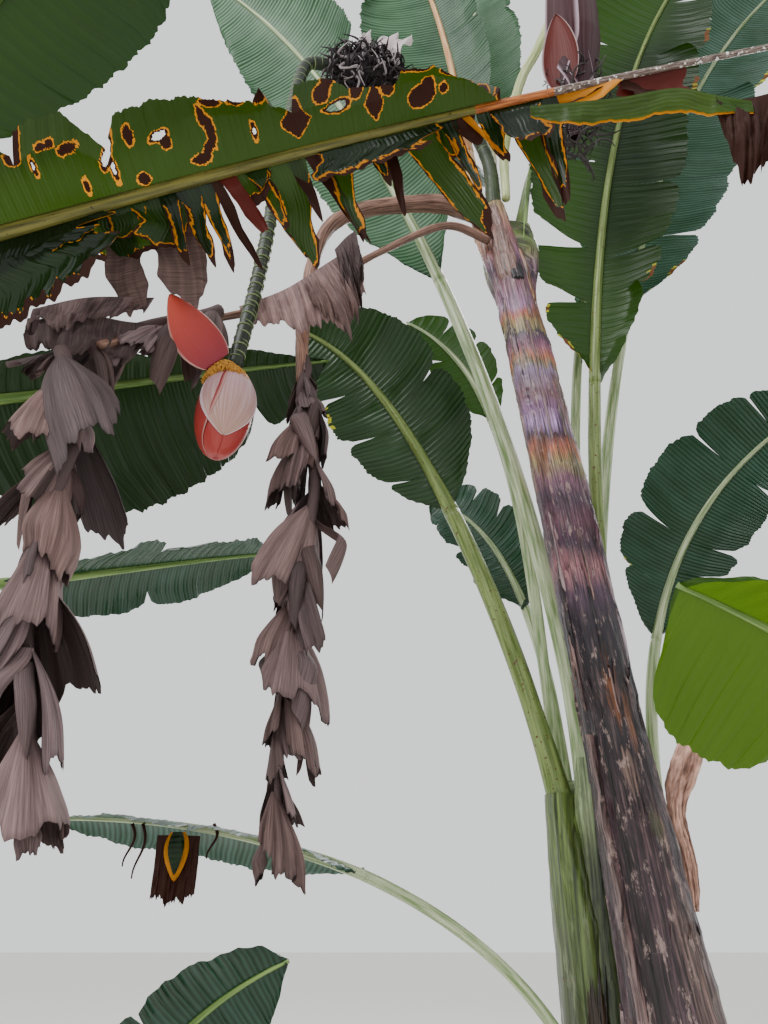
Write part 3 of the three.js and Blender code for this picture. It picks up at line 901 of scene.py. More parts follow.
LEFT_STEM = Stem(
    "left", (-1.45, -0.35), (-2.62, -0.75), 0.2, 3.1, ((0, 0.33), (0.35, 0.26), (1.5, 0.2), (3.1, 0.13)),
    seed=31, colours=("#66753a", "#8c8a58", "#4a4630"),
)
SUCKER_STEM = Stem(
    "sucker", (-0.345, 0.07), (-0.325, 0.09), 0, 1.2, ((0, 0.16), (0.3, 0.13), (1.2, 0.076)), seed=41,
    step=3 * MM, sides=64,
)
HIDDEN_STEM = Stem(
    "hidden", (0.19, 0.43), (0.06, 0.345), 0, 1.74, ((0, 0.22), (0.3, 0.17), (1.74, 0.084)), seed=51,
    step=4 * MM, sides=64,
)
RIGHT_STEM = Stem(
    "right", (0.47, -0.42), (0.64, -0.76), 0, 1.7, ((0, 0.24), (0.3, 0.19), (1.7, 0.12)), seed=61,
    step=4 * MM, sides=64,
)
SMALL_STEM = Stem(
    "small", (-1.42, -0.04), (-1.5, -0.2), 0, 0.85, ((0, 0.13), (0.85, 0.07)), seed=71, step=2 * MM, sides=48,
)
STEMS = (MAIN_STEM, SECOND_STEM, LEFT_STEM, SUCKER_STEM, HIDDEN_STEM, RIGHT_STEM, SMALL_STEM)


@dataclass(frozen=True)
class Wrap:
    """A leaf's sheath, or a torn strip of one, that lies on a stem."""

    stem: Stem
    side: float
    top: float
    bottom: float
    spans: tuple[float, float] = (60.0, 160.0)  # how far round it reaches at its top and at its bottom
    outer: float = 0.0  # how far from the stem's middle line its middle stays at the top
    lift: float = 3 * MM
    turn: float = 0.0
    ragged: float = 0.0  # how far down its top edge is torn
    colour: str | Streaked | None = None
    fades: bool = False  # whether its colour turns into the stem's own on the way down
    seat: float = 0.04  # the share of its length where it starts to flatten
    seed: int = 1

    def add(self, skin: Skin, rows: int, columns: int) -> None:
        """Adds the sheet.

        Args:
            skin: What it is added to.
            rows: Points down it.
            columns: Points round it.
        """
        s, a = lattice(rows, columns)
        start = self.top - self.ragged * (0.5 + 0.5 * wander(a, self.seed, 0.55, 5))
        height = mix(start, self.bottom, s)
        half = np.radians(mix(self.spans[0], self.spans[1], s**0.7 if self.fades else ease(s))) / 2
        uneven = 1 + 0.1 * wander(height, self.seed + 1, 0.4)
        angle = math.radians(self.side) + math.radians(self.turn) * s + a * half * uneven
        beyond = np.maximum(self.outer - self.stem.radius(height), 0)
        swell = beyond * (1 - ease((s - self.seat) / 0.6)) * (1 - a**6)
        stand = self.lift * (1 - 1.9 * a**6) * (1 + 0.4 * wander(height, self.seed + 2, 0.25, 3))
        stand = stand - 2.2 * self.lift * ease((s - 0.8) / 0.2)
        grid = self.stem.at(height, angle, self.stem.surface(height, angle) + stand + swell)
        own = self.stem.skin_colours(height + 0 * angle, angle + 0 * height)
        if self.colour is None:
            tint = own
        else:
            fibres = mottle(angle * 2.5 + 0 * height, height * 0.6 + 0 * angle, self.seed + 3, 0.25)
            if isinstance(self.colour, Streaked):
                tint = 0.52 * (np.array(linear(self.colour.dark)) + np.array(linear(self.colour.light)))
            else:
                tint = np.array(linear(self.colour))
            tint = tint * (1 + 0.35 * fibres[..., None])
            if self.fades:
                tint = mix(tint, own, ease((s - self.seat) / 0.35)[..., None])
        edge = 1 - 0.45 * ease(s / 0.03) * (s < 0.03) * (not self.fades)
        skin.lay(grid, paired(height, angle / (2 * math.pi)), tint=tint * edge[..., None])


def old_sheaths() -> tuple[Wrap, ...]:
    """The torn ends of old sheaths on the main stem, and the strips that peel off it; one near-black end is
    painted shade in a torn recess.
    """
    ends = [
        Wrap(MAIN_STEM, -100, 3.49, 3.1, (230, 250), lift=5 * MM, ragged=0.02, seed=3),
        Wrap(MAIN_STEM, -50, 3.04, 2.6, (110, 120), lift=6 * MM, ragged=0.03, seed=4),
        Wrap(MAIN_STEM, -110, 2.82, 2.5, (120, 130), lift=4 * MM, ragged=0.06, seed=5),
        Wrap(MAIN_STEM, -85, 2.25, 1.5, (130, 170), lift=7 * MM, ragged=0.10, seed=6),
        Wrap(MAIN_STEM, -105, 2.05, 1.2, (90, 120), lift=6 * MM, ragged=0.14, seed=7),
        Wrap(MAIN_STEM, -70, 1.56, 0.4, (100, 150), lift=8 * MM, ragged=0.05, seed=8),
        Wrap(MAIN_STEM, -152, 2.03, 0.2, (12, 22), lift=20 * MM, turn=26, colour="#8d7975", seed=9),
        Wrap(MAIN_STEM, -128, 1.98, 0.3, (9, 18), lift=11 * MM, turn=14, colour="#2b2124", seed=10),
        Wrap(MAIN_STEM, -22, 3.0, 2.1, (5, 7), lift=8 * MM, turn=-6, colour="#cfc6cc", seed=12),
        Wrap(MAIN_STEM, 100, 3.3, 2.2, (150, 170), lift=6 * MM, ragged=0.12, seed=13),
        Wrap(MAIN_STEM, 60, 2.1, 0.6, (160, 190), lift=8 * MM, ragged=0.12, seed=14),
        Wrap(MAIN_STEM, -35, 3.95, 3.62, (26, 34), lift=9 * MM, ragged=0.03, colour="#a8794c", seed=15),
        # a near-black sheet over the torn recess at the front: painted shade
        Wrap(MAIN_STEM, -85, 3.86, 3.74, (60, 40), lift=7 * MM, ragged=0.06, colour="#231a22", seed=16),
        Wrap(MAIN_STEM, -120, 4.19, 3.72, (70, 110), lift=10 * MM, ragged=0.05, colour="#a58478", seed=17),
    ]
    rng = np.random.default_rng(5)
    shades = ("#9c837c", "#6b5046", "#33262b", "#b7a3a4", "#7d5f50", "#4b3a40")
    for n in range(52):
        top, side = rng.uniform(0.7, 3.9), rng.uniform(-180, 180)
        long, wide = rng.uniform(0.08, 0.42), rng.uniform(3.0, 9.0)
        shade = shades[n % len(shades)]
        spans, lift, turn = (wide, wide * rng.uniform(0.4, 1.6)), rng.uniform(4, 9) * MM, rng.uniform(-6, 6)
        ends.append(Wrap(MAIN_STEM, side, top, top - long, spans, 0, lift, turn, 0.03, shade, seed=100 + n))
    return tuple(ends)


SECOND_STEM_SHEATHS = (
    Wrap(SECOND_STEM, 205, 1.57, 0.05, (70, 130), lift=20 * MM, ragged=0.05, colour="#66583e", seed=31),
    Wrap(
        SECOND_STEM, 240, 1.48, 0.05, (30, 60), lift=24 * MM, ragged=0.16, turn=-8, colour="#4a342b", seed=32,
    ),
    Wrap(SECOND_STEM, 60, 1.45, 0.1, (120, 170), lift=9 * MM, ragged=0.2, colour="#5b4438", seed=33),
    Wrap(SECOND_STEM, 232, 1.93, 1.84, (70, 60), lift=16 * MM, ragged=0.05, colour="#1f1a18", seed=34),
)


# Leaves

SEAT_GAP = {"top": 0.5 * MM, "side": 5 * MM}
WALK_STEPS = 96
STALK_SWELL = 1.15
FLARE = 0.6  # how much a stalk that hugs a stem widens down to its sheath, in midrib half widths
FLARE_LENGTH = 0.42
RIB_AT_TIP = 0.3
BASE_ROUNDNESS = 7
TIP_BLUNTNESS = 0.75
LEAST_SLOPE = 0.05  # below this a field is too flat to find its level lines
MOST_MOVE = 0.5  # how far a point may be moved, as a share of the way to the next one
SOUND_FROM = 0.97  # a strip that comes free beyond this share of the half keeps its corners
BURN_EDGES = (0.0, 5 * MM, 8.6 * MM)  # where a burn's hole, its brown rim and its yellow halo end


def spine_steps(start: float, end: float) -> np.ndarray:
    """The distances from a leaf's seat at which its stalk or midrib has a ring of points."""
    return np.linspace(start, end, max(12, int((end - start) / 0.025)))


def face_mean(field_: np.ndarray) -> np.ndarray:
    """The mean of a field over the four corners of each face."""
    return (field_[:-1, :-1] + field_[1:, :-1] + field_[:-1, 1:] + field_[1:, 1:]) / 4


def settle(grid: np.ndarray, far: np.ndarray, levels: tuple[float, ...]) -> tuple[np.ndarray, np.ndarray]:
    """Moves a sheet's points onto a field's level lines, so that edges along them come out smooth.

    Args:
        grid: The sheet's points.
        far: The field at each point, in metres.
        levels: The field's values along the wanted edges.

    Returns:
        The moved points, and the field at each.
    """
    down, aside = np.gradient(grid, axis=0), np.gradient(grid, axis=1)
    down_step = np.linalg.norm(down, axis=-1) + 1e-9
    aside_step = np.linalg.norm(aside, axis=-1) + 1e-9
    slope_down = np.gradient(far, axis=0) / down_step
    slope_aside = np.gradient(far, axis=1) / aside_step
    steep = np.maximum(slope_down**2 + slope_aside**2, LEAST_SLOPE)
    gaps = np.stack([level - far for level in levels])
    gap = np.take_along_axis(gaps, np.abs(gaps).argmin(axis=0)[None], axis=0)[0]
    move_down = gap * slope_down / steep / down_step
    move_aside = gap * slope_aside / steep / aside_step
    close = np.maximum(np.abs(move_down), np.abs(move_aside)) < MOST_MOVE
    close &= steep > 1.2 * LEAST_SLOPE
    close[[0, -1]] = False
    close[:, [0, -1]] = False
    moved = grid + down * (move_down * close)[..., None] + aside * (move_aside * close)[..., None]
    return moved, far + gap * close


@dataclass(frozen=True)
class Tears:
    """How one half of a blade is torn into strips along its side veins."""

    count: int = 3
    depth: tuple[float, float] = (0.35, 0.9)  # share of the half, from the midrib, where a tear starts
    hang: tuple[float, float] = (0.0, 0.25)
    lean: float = 0.06
    twist: float = 12.0
    narrow: float = 0.06
    dry: float = 0.1  # share of the strips with dead, brown stretches at the end
    dry_width: float = 14 * MM


@dataclass(frozen=True)
class Leaf:
    """One leaf: a gutter-shaped stalk that runs on as the midrib of a thin blade."""

    name: str
    stem: Stem
    side: float
    heading: float
    rise: float
    stalk: float
    blade: float
    height: float | None = None
    sweep: float = 0.0
    droop: float = 0.0
    power: float = 1.0
    nod: float = 20.0
    roll: float = 0.0
    tilt: tuple[float, float] = (-12.0, -12.0)
    curl: float = 14.0
    halves: tuple[float, float] = (0.3, 0.3)
    taper: float = 4.5
    bare: float = 0.0
    rib: float = 0.023
    sheath: float = 0.55  # how far its sheath runs down the stem
    hold: float = 120.0  # how far round the stem the sheath reaches
    whole: bool = False
    green: Green = Green.MID
    skin: Stalk = Stalk.GREEN
    tears: tuple[Tears, Tears] = (Tears(), Tears())
    pleat: float = 40 * MM
    pleat_height: float = 2.5 * MM
    row_gap: float = 9 * MM
    columns: int = 15
    slant: float = 0.35
    wave: float = 12 * MM
    seed: int = 1

    def seat(self) -> np.ndarray:
        """Where the leaf starts: on its stem's flat top, or against its side."""
        if self.height is None:
            return self.stem.middle(self.stem.tall) + UP * SEAT_GAP["top"]
        side = math.radians(self.side)
        half = self.rib * STALK_SWELL * math.sin(math.radians(self.rise))
        reach = float(self.stem.radius(self.height)) + SEAT_GAP["side"] + half
        return self.stem.middle(self.height) + spoke(side, reach)

    def midrib(self) -> tuple[np.ndarray, ...]:
        """Walks the midrib from its seat to its tip.

        Returns:
            At each step, the distance walked, the place, and the directions ahead, right and up.
        """
        length = self.stalk + self.blade
        t = np.arange(WALK_STEPS + 1) / WALK_STEPS
        heading = np.radians(self.heading + self.sweep * t)
        rise = np.radians(self.rise - self.droop * t**self.power - self.nod * t**6)
        ahead = paired(np.cos(rise) * np.cos(heading), np.cos(rise) * np.sin(heading), np.sin(rise))
        level = paired(np.sin(heading), -np.cos(heading), 0.0)
        turn = np.radians(self.roll) * np.clip(t * length / self.stalk, 0, 1)[:, None]
        upper = np.cross(level, ahead)
        right = level * np.cos(turn) - upper * np.sin(turn)
        up = upper * np.cos(turn) + level * np.sin(turn)
        place = self.seat() + before_each(ahead * length / WALK_STEPS, 0)
        return t * length, place, ahead, right, up

    def stations(self, distance: np.ndarray) -> tuple[np.ndarray, ...]:
        """Reads the midrib at some distances.

        Args:
            distance: How far from the seat.

        Returns:
            The place, and the directions ahead, right and up, at each distance.
        """
        walked, *lines = self.midrib()
        read = [
            np.stack([np.interp(distance, walked, line[:, k]) for k in range(3)], axis=-1) for line in lines
        ]
        return read[0], unit(read[1]), unit(read[2]), unit(read[3])

    def flare(self, distance: np.ndarray) -> np.ndarray:
        """How much wider the stalk is where it turns into its sheath, as a length."""
        if self.height is None:
            return 0 * distance
        return self.rib * FLARE * np.clip(1 - distance / min(FLARE_LENGTH, 0.6 * self.stalk), 0, 1) ** 1.6

    def rib_half(self, distance: np.ndarray) -> np.ndarray:
        """Half the width of the stalk or midrib at a distance from the seat."""
        on_stalk = mix(STALK_SWELL, 1.0, distance / self.stalk)
        on_blade = mix(1.0, RIB_AT_TIP, (distance - self.stalk) / self.blade)
        return self.rib * np.where(distance < self.stalk, on_stalk, on_blade)

    def spine(self, skin: Skin, start: float, end: float, finish: int | np.ndarray = 0) -> None:
        """Adds the stalk or the midrib: a gutter below, closed by a shallow channel above.

        Args:
            skin: What it is added to.
            start: Distance from the seat where it starts.
            end: Distance where it ends.
            finish: Number of its finish.
        """
        distance = spine_steps(start, end)
        place, _, right, up = self.stations(distance)
        wider = self.flare(distance)
        place = place - wider[:, None] * spoke(math.radians(self.side))
        half = (self.rib_half(distance) + wider)[:, None]
        past = np.clip((distance - self.stalk) / (0.2 * self.blade), 0, 1)[:, None]
        lower = np.linspace(0, math.pi, 13)[None]
        upper = np.linspace(1, -1, 9)[None, 1:-1]
        depth = mix(1.35, 1.45, past)
        x = np.concatenate([-np.cos(lower) + 0 * past, upper + 0 * past], axis=1)
        lip, channel = mix(0.35, 0.2, past), mix(0.05, 0.22, past)
        y = np.concatenate(
            [lip - depth * np.sin(lower) ** 0.85, channel + (lip - channel) * np.abs(upper) ** 1.6], axis=1
        )
        width = mix(1.0, 0.85, past)
        grid = place[:, None] + right[:, None] * (x * half * width)[..., None]
        grid = grid + up[:, None] * (y * half)[..., None]
        spots = paired(distance[:, None], np.linspace(0, 1, x.shape[1] + 1)[None])
        skin.lay(grid, spots, finish, closed=True, caps=True)

    def outline(self, t: np.ndarray) -> np.ndarray:
        """The share of its full width that the blade has at t of its green length."""
        t = np.clip(t, 0, 1)
        return (1 - (1 - t) ** BASE_ROUNDNESS) * (1 - t**self.taper) ** TIP_BLUNTNESS

    def damage(self, along: np.ndarray, across: np.ndarray) -> np.ndarray:
        """How far each place is from the nearest hole or dead spot, below 0 inside it.

        Args:
            along: Distance from the blade's start.
            across: Distance from the midrib.

        Returns:
            The distance in metres; far away for a sound blade.
        """
        return np.full(np.broadcast(along, across).shape, 1.0)

    def half(self, skin: Skin, side: int) -> None:
        """Adds one half of the blade, strip by strip.

        Args:
            skin: What it is added to.
            side: 0 for the left half and 1 for the right.
        """
        sign, tears = (-1, 1)[side], self.tears[side]
        rng = np.random.default_rng(self.seed * 10 + side)
        green = self.blade * (1 - self.bare)
        rows = int(green / self.row_gap) + 1
        cuts = self.cut_rows(rng, rows, tears.count)
        starts = rng.uniform(*tears.depth, len(cuts) + 2)
        starts[[0, -1]] = 0.98
        for n, (first, last) in enumerate(zip([0, *cuts], [*cuts, rows - 1])):
            near = min(starts[n], starts[n + 1])
            bend, sway, dry = rng.uniform(*tears.hang), rng.uniform(-1, 1, 2), rng.random() < tears.dry
            self.strip(skin, sign, tears, (first, last, rows), near, bend, sway, dry)

    @staticmethod
    def cut_rows(rng: np.random.Generator, rows: int, count: int) -> list[int]:
        """Picks the rows where a half is torn, not too close to each other."""
        spaced = (np.arange(1, count + 1) + rng.uniform(-0.3, 0.3, count)) / (count + 1)
        return sorted({int(s * (rows - 1)) for s in spaced if 3 < s * (rows - 1) < rows - 4})

    def strip(
        self, skin: Skin, sign: int, tears: Tears, span: tuple[int, int, int], near: float, bend: float,
        sway: np.ndarray, dry: bool,
    ) -> None:
        """Adds one strip between two tears.

        Args:
            skin: What it is added to.
            sign: -1 on the left half, 1 on the right.
            tears: How that half is torn.
            span: First row, last row and number of rows on this half.
            near: Share of the half where the strip comes free of its neighbours.
            bend: How far it hangs, from 0 to 1.
            sway: Its lean along the midrib and its twist, each from -1 to 1.
            dry: Whether its end is dead and brown.
        """
        first, last, rows = span
        green = self.blade * (1 - self.bare)
        along = green * np.arange(first, last + 1) / (rows - 1)
        place, ahead, right, up = self.stations(self.stalk + along)
        side = (sign + 1) // 2
        width = self.halves[side] * self.outline(along / green)
        middle = (along[0] + along[-1]) / 2
        offset = along - middle
        reach = max((along[-1] - along[0]) / 2, 1e-6)
        corner = 1 - 0.16 * np.abs(offset / reach) ** 6 if near < SOUND_FROM else 1
        ragged = 1 + 0.018 * wander(along, self.seed + side, 0.09) + 0.01 * wander(along, self.seed + 7, 0.02)
        width = width * corner * ragged
        v = np.linspace(0, 1, self.columns)
        free = np.clip((v - near) / max(1 - near, 0.02), 0, 1)
        angle = np.radians(self.tilt[side]) - math.radians(self.curl) * ease((v - 0.25) / 0.5)
        aim = sign * right[:, None] * np.cos(angle)[:, None] + up[:, None] * np.sin(angle)[:, None]
        aim = aim + ahead[:, None] * (self.slant * v * (1 - along[:, None] / green * 0.6))[..., None]
        weight = (bend * free**0.8)[None, :, None]
        leant = ahead[:, None] * (sway[0] * tears.lean * free)[:, None]
        aim = unit(aim * (1 - weight) + DOWN * weight + leant)
        grid = place[:, None] + before_each(aim * (width[:, None, None] * (v[1] - v[0])), 1)
        normal = unit(np.cross(aim, ahead[:, None])) * sign
        rise = self.pleat_height * np.sin(2 * math.pi * along / self.pleat)[:, None] * ease(v * 3)
        rise = rise + self.wave * (v**2) * wander(along, self.seed + 3 + side, 0.5)[:, None]
        twist = math.radians(tears.twist) * sway[1] * free
        grid = grid + normal * (rise + offset[:, None] * np.sin(twist))[..., None]
        shrink = np.cos(twist) * (1 - tears.narrow * free) - 1
        grid = grid + ahead[:, None] * (offset[:, None] * shrink)[..., None]
        across = width[:, None] * v
        spots = paired(along[:, None], across)
        far = self.damage(along[:, None] + 0 * across, across)
        if far.min() < BURN_EDGES[-1]:
            grid, far = settle(grid, far, BURN_EDGES)
        finish = self.tissue(along, across, width, tears, dry)
        near_burn = face_mean(far)
        finish[near_burn < BURN_EDGES[2]] = Tissue.HALO
        finish[near_burn < BURN_EDGES[1]] = Tissue.BURNT
        skin.lay(grid, spots, finish, keep=near_burn > BURN_EDGES[0], flip=sign < 0)

    def tissue(
        self, along: np.ndarray, across: np.ndarray, width: np.ndarray, tears: Tears, dry: bool
    ) -> np.ndarray:
        """Says what each face of a strip is: sound, yellowed, or dead at its edge.

        Args:
            along: Distance of each row from the blade's start.
            across: Distance of each point from the midrib.
            width: The strip's width at each row.
            tears: How that half is torn.
            dry: Whether its end has dead stretches.

        Returns:
            The finish number of each face.
        """
        finish = np.full((len(along) - 1, across.shape[1] - 1), int(Tissue.GREEN))
        if dry:
            inner = (across[:-1, :-1] + across[1:, 1:]) / 2
            edge = width[:-1, None] - inner
            rows = along[:-1]
            stretch = wander(rows, self.seed + 5, 0.3, 2) + 0.3 * wander(rows, self.seed + 6, 0.06, 2)
            rough = tears.dry_width * np.clip(1.6 * stretch, -1, 1.5)[:, None]
            finish[edge < rough + 5 * MM] = Tissue.YELLOWED
            finish[edge < rough] = Tissue.DRY
        return finish

    def finishes(self) -> tuple[Enum, ...]:
        """The blade's finishes, in the order of their numbers."""
        return self.green, Dead.DRY, Dead.YELLOWED, self.skin

    def rib_finish(self, start: float, end: float) -> int:
        """The number of the midrib's finish."""
        return Tissue.SKIN

    def build(self) -> None:
        """Builds the leaf: one piece for each of its CAD nodes."""
        skin = Skin()
        if not self.whole:
            stalk = Skin()
            self.spine(stalk, 0, self.stalk)
            dress(stalk.build(f"{self.name}_petiole", self.skin), "leaf_stalk", f"{self.name}_stalk")
        start = 0.0 if self.whole else self.stalk
        self.spine(skin, start, self.stalk + self.blade, self.rib_finish(start, self.stalk + self.blade))
        self.half(skin, 0)
        self.half(skin, 1)
        piece = skin.build(f"{self.name}_lamina", *self.finishes())
        node = self.name if self.whole else f"{self.name}_blade"
        dress(piece, "burnt_blade" if self.bare else "leaf_blade", node)


TORN = Tears(count=7, depth=(0.15, 0.7), hang=(0.05, 0.4), lean=0.25, twist=22, narrow=0.12, dry=0.25)
SOUND = Tears(count=1, depth=(0.6, 0.95), hang=(0.0, 0.05), twist=4, dry=0.0)
WORN = Tears(count=4, depth=(0.3, 0.85), hang=(0.0, 0.3), lean=0.15, twist=14, dry=0.2)
FINE = {"pleat": 19 * MM, "pleat_height": 1.6 * MM, "row_gap": 4.75 * MM}

LEAVES = (
    Leaf(
        "main_leaf_left", MAIN_STEM, height=4.06, side=155, heading=193, sweep=-6, rise=88, droop=10, nod=45,
        stalk=0.52, blade=1.96, halves=(0.23, 0.42), roll=62, rib=0.025, green=Green.BLOOM, skin=Stalk.PEACH,
        tears=(SOUND, SOUND), **FINE, seed=3,
    ),
    Leaf(
        "main_leaf_middle", MAIN_STEM, height=4.11, side=75, heading=95, sweep=-14, rise=86, nod=40,
        stalk=0.74, blade=1.76, halves=(0.24, 0.29), roll=174, rib=0.024, green=Green.BLOOM, skin=Stalk.CREAM,
        tears=(SOUND, SOUND), **FINE, seed=4,
    ),
    Leaf(
        "main_leaf_right", MAIN_STEM, height=4.02, side=20, heading=42, sweep=-3, rise=80, droop=60,
        power=1.6, stalk=0.65, blade=1.25, halves=(0.22, 0.22), roll=-40, whole=True, green=Green.GREY,
        tears=(WORN, WORN), seed=5,
    ),
    Leaf(
        "main_leaf_back", MAIN_STEM, height=3.96, side=110, heading=112, rise=83, droop=60, power=1.5, nod=30,
        stalk=0.6, blade=1.7, halves=(0.29, 0.29), green=Green.GREY, tears=(WORN, WORN), seed=6,
    ),
    Leaf(
        "ribbed_leaf", SECOND_STEM, height=1.78, side=205, heading=187, rise=88, droop=27, power=0.45, nod=40,
        stalk=1.13, blade=1.01, halves=(0.29, 0.25), roll=66, rib=0.03, green=Green.GLOSSY, sheath=1.5,
        hold=150, skin=Stalk.OLIVE,
        tears=(SOUND, Tears(count=4, depth=(0.55, 0.8), hang=(0, 0.1), dry=0.25, dry_width=10 * MM)),
        pleat=22 * MM, pleat_height=3 * MM, row_gap=5.5 * MM, seed=7,
    ),
    Leaf(
        "tall_left_leaf", SECOND_STEM, height=1.88, side=255, heading=-168, sweep=-8, rise=88, droop=30,
        power=0.78, nod=20, stalk=2.06, blade=2.3, halves=(0.33, 0.33), tilt=(-6, -6), curl=8, roll=60,
        rib=0.027, green=Green.BLOOM, skin=Stalk.STRIPED, tears=(SOUND, SOUND), **FINE, seed=8,
    ),
    Leaf(
        "striped_leaf", SECOND_STEM, height=1.83, side=142, heading=150, sweep=20, rise=88, droop=34, power=3,
        stalk=1.56, blade=0.7, halves=(0.15, 0.15), roll=90, rib=0.022, green=Green.MID, skin=Stalk.STRIPED,
        seed=9,
    ),
    Leaf(
        "low_back_leaf", SECOND_STEM, height=1.74, side=100, heading=140, sweep=-11, rise=85, droop=59,
        power=2.3, nod=0, stalk=0.85, blade=0.84, halves=(0.18, 0.16), roll=112, rib=0.019, whole=True,
        green=Green.WET, skin=Stalk.STRIPED, pleat=22 * MM, row_gap=5.5 * MM, seed=10,
    ),
    Leaf(
        "rolled_leaf", SECOND_STEM, side=0, heading=6, sweep=-16, rise=88, droop=15, power=1.1, nod=6,
        stalk=1.6, blade=1.7, halves=(0.05, 0.05), roll=-60, rib=0.02, whole=True, green=Green.BLOOM,
        skin=Stalk.STRIPED, tears=(SOUND, SOUND), seed=11,
    ),
    Leaf(
        "tall_right_leaf", SECOND_STEM, height=1.85, side=318, heading=-29, sweep=7, rise=88, droop=21,
        power=1.3, nod=40, stalk=1.56, blade=2.9, halves=(0.33, 0.37), roll=-75, rib=0.024,
        green=Green.BACKLIT, skin=Stalk.OLIVE, tears=(TORN, TORN), seed=12,
    ),
    Leaf(
        "tall_back_leaf", SECOND_STEM, height=1.81, side=55, heading=-2, sweep=-20, rise=88, droop=24,
        power=0.74, nod=40, stalk=2.1, blade=2.45, halves=(0.34, 0.37), roll=-82, rib=0.022, green=Green.GREY,
        skin=Stalk.STRIPED, tears=(WORN, WORN), pleat=16 * MM, pleat_height=1.4 * MM, row_gap=4 * MM, seed=13,
    ),
    Leaf(
        "left_leaf_high", LEFT_STEM, height=3.07, side=-62, heading=-22, rise=34, droop=-26, nod=75,
        stalk=0.45, blade=1.74, halves=(0.34, 0.31), roll=-19, green=Green.MID, tears=(SOUND, SOUND), seed=14,
    ),
    Leaf(
        "leaf_behind_bud", LEFT_STEM, height=2.7, side=35, heading=29, sweep=-3, rise=27, nod=4, stalk=0.26,
        blade=1.42, halves=(0.54, 0.17), taper=1.5, roll=-58, green=Green.DARK, columns=24,
        tears=(Tears(count=2, depth=(0.6, 0.8), hang=(0, 0.15), dry=0.3), SOUND), seed=15,
    ),
    Leaf(
        "left_leaf_low", LEFT_STEM, height=2.25, side=60, heading=60, sweep=-19, rise=24, nod=6, stalk=0.46,
        blade=1.13, halves=(0.19, 0.19), roll=-30, rib=0.019, whole=True, green=Green.WET,
        tears=(SOUND, SOUND), seed=16,
    ),
    Leaf(
        "left_leaf_outer", LEFT_STEM, height=3.04, side=185, heading=190, rise=76, droop=88, power=1.2,
        stalk=0.62, blade=2.0, halves=(0.31, 0.31), green=Green.MID, tears=(TORN, TORN), seed=17,
    ),
    Leaf(
        "left_leaf_back", LEFT_STEM, height=3.08, side=105, heading=116, rise=80, droop=78, power=1.3,
        stalk=0.6, blade=1.9, halves=(0.3, 0.3), green=Green.MID, tears=(WORN, TORN), seed=18,
    ),
    Leaf(
        "left_leaf_front", LEFT_STEM, height=2.99, side=245, heading=-118, rise=74, droop=92, power=1.2,
        stalk=0.52, blade=1.65, halves=(0.28, 0.28), whole=True, green=Green.BRIGHT, tears=(WORN, WORN),
        seed=19,
    ),
    Leaf(
        "sucker_leaf", SUCKER_STEM, side=180, heading=185, sweep=-6, rise=88, droop=90, power=0.38, nod=0,
        stalk=0.74, blade=0.93, halves=(0.145, 0.15), roll=14, rib=0.019, green=Green.GREY,
        skin=Stalk.STRIPED, tears=(SOUND, SOUND), pleat=22 * MM, seed=20,
    ),
    Leaf(
        "small_sucker_leaf", SMALL_STEM, side=0, heading=-16, sweep=7, rise=88, droop=68, power=0.93, nod=0,
        stalk=0.23, blade=0.61, halves=(0.15, 0.15), roll=-60, rib=0.016, whole=True, green=Green.WET,
        tears=(SOUND, SOUND), seed=21,
    ),
    Leaf(
        "hidden_stem_leaf", HIDDEN_STEM, side=0, heading=-18, sweep=-46, rise=88, droop=96, power=1.95, nod=0,
        stalk=0.69, blade=1.04, halves=(0.2, 0.25), roll=-60, rib=0.019, green=Green.WET, skin=Stalk.STRIPED,
        tears=(WORN, WORN), pleat=13 * MM, pleat_height=2 * MM, row_gap=3.25 * MM, seed=22,
    ),
    Leaf(
        "torn_right_leaf", RIGHT_STEM, height=1.64, side=180, heading=-176, sweep=15, rise=48, droop=33,
        nod=0, stalk=0.2, blade=0.78, halves=(0.25, 0.29), taper=14, tilt=(-34, -20), roll=30, whole=True,
        green=Green.BRIGHT, tears=(SOUND, SOUND), seed=23,
    ),
    Leaf(
        "right_leaf_outer", RIGHT_STEM, side=20, heading=22, rise=78, droop=86, power=1.3, stalk=0.52,
        blade=1.45, halves=(0.26, 0.26), green=Green.BRIGHT, tears=(WORN, TORN), seed=24,
    ),
    Leaf(
        "right_leaf_front", RIGHT_STEM, height=1.62, side=290, heading=-62, rise=76, droop=84, power=1.3,
        stalk=0.46, blade=1.2, halves=(0.23, 0.23), rib=0.02, whole=True, green=Green.MID, tears=(WORN, WORN),
        seed=25,
    ),
)


@dataclass(frozen=True)
class Burn:
    """A hole or a dead spot in a blade, as an uneven oval."""

    along: float
    across: float
    long: float
    wide: float
    through: bool = True
    lean: float = 0.0
    corner: float = 2.0  # 2 for an oval, 1 for a diamond


@dataclass(frozen=True)
class Ribbon:
    """A torn strip that hangs from the midrib of the holed leaf."""

    start: float
    end: float
    reach: float
    lean: float = 0.2
    narrow: float = 0.7  # width of its end as a share of its root
    tissue: Tissue = Tissue.GREEN
    tip: float = 20 * MM  # length of its burnt end
    rim: float = 4 * MM
    halo: float = 5 * MM
    forward: float = 0.0
    hang: float = 0.75


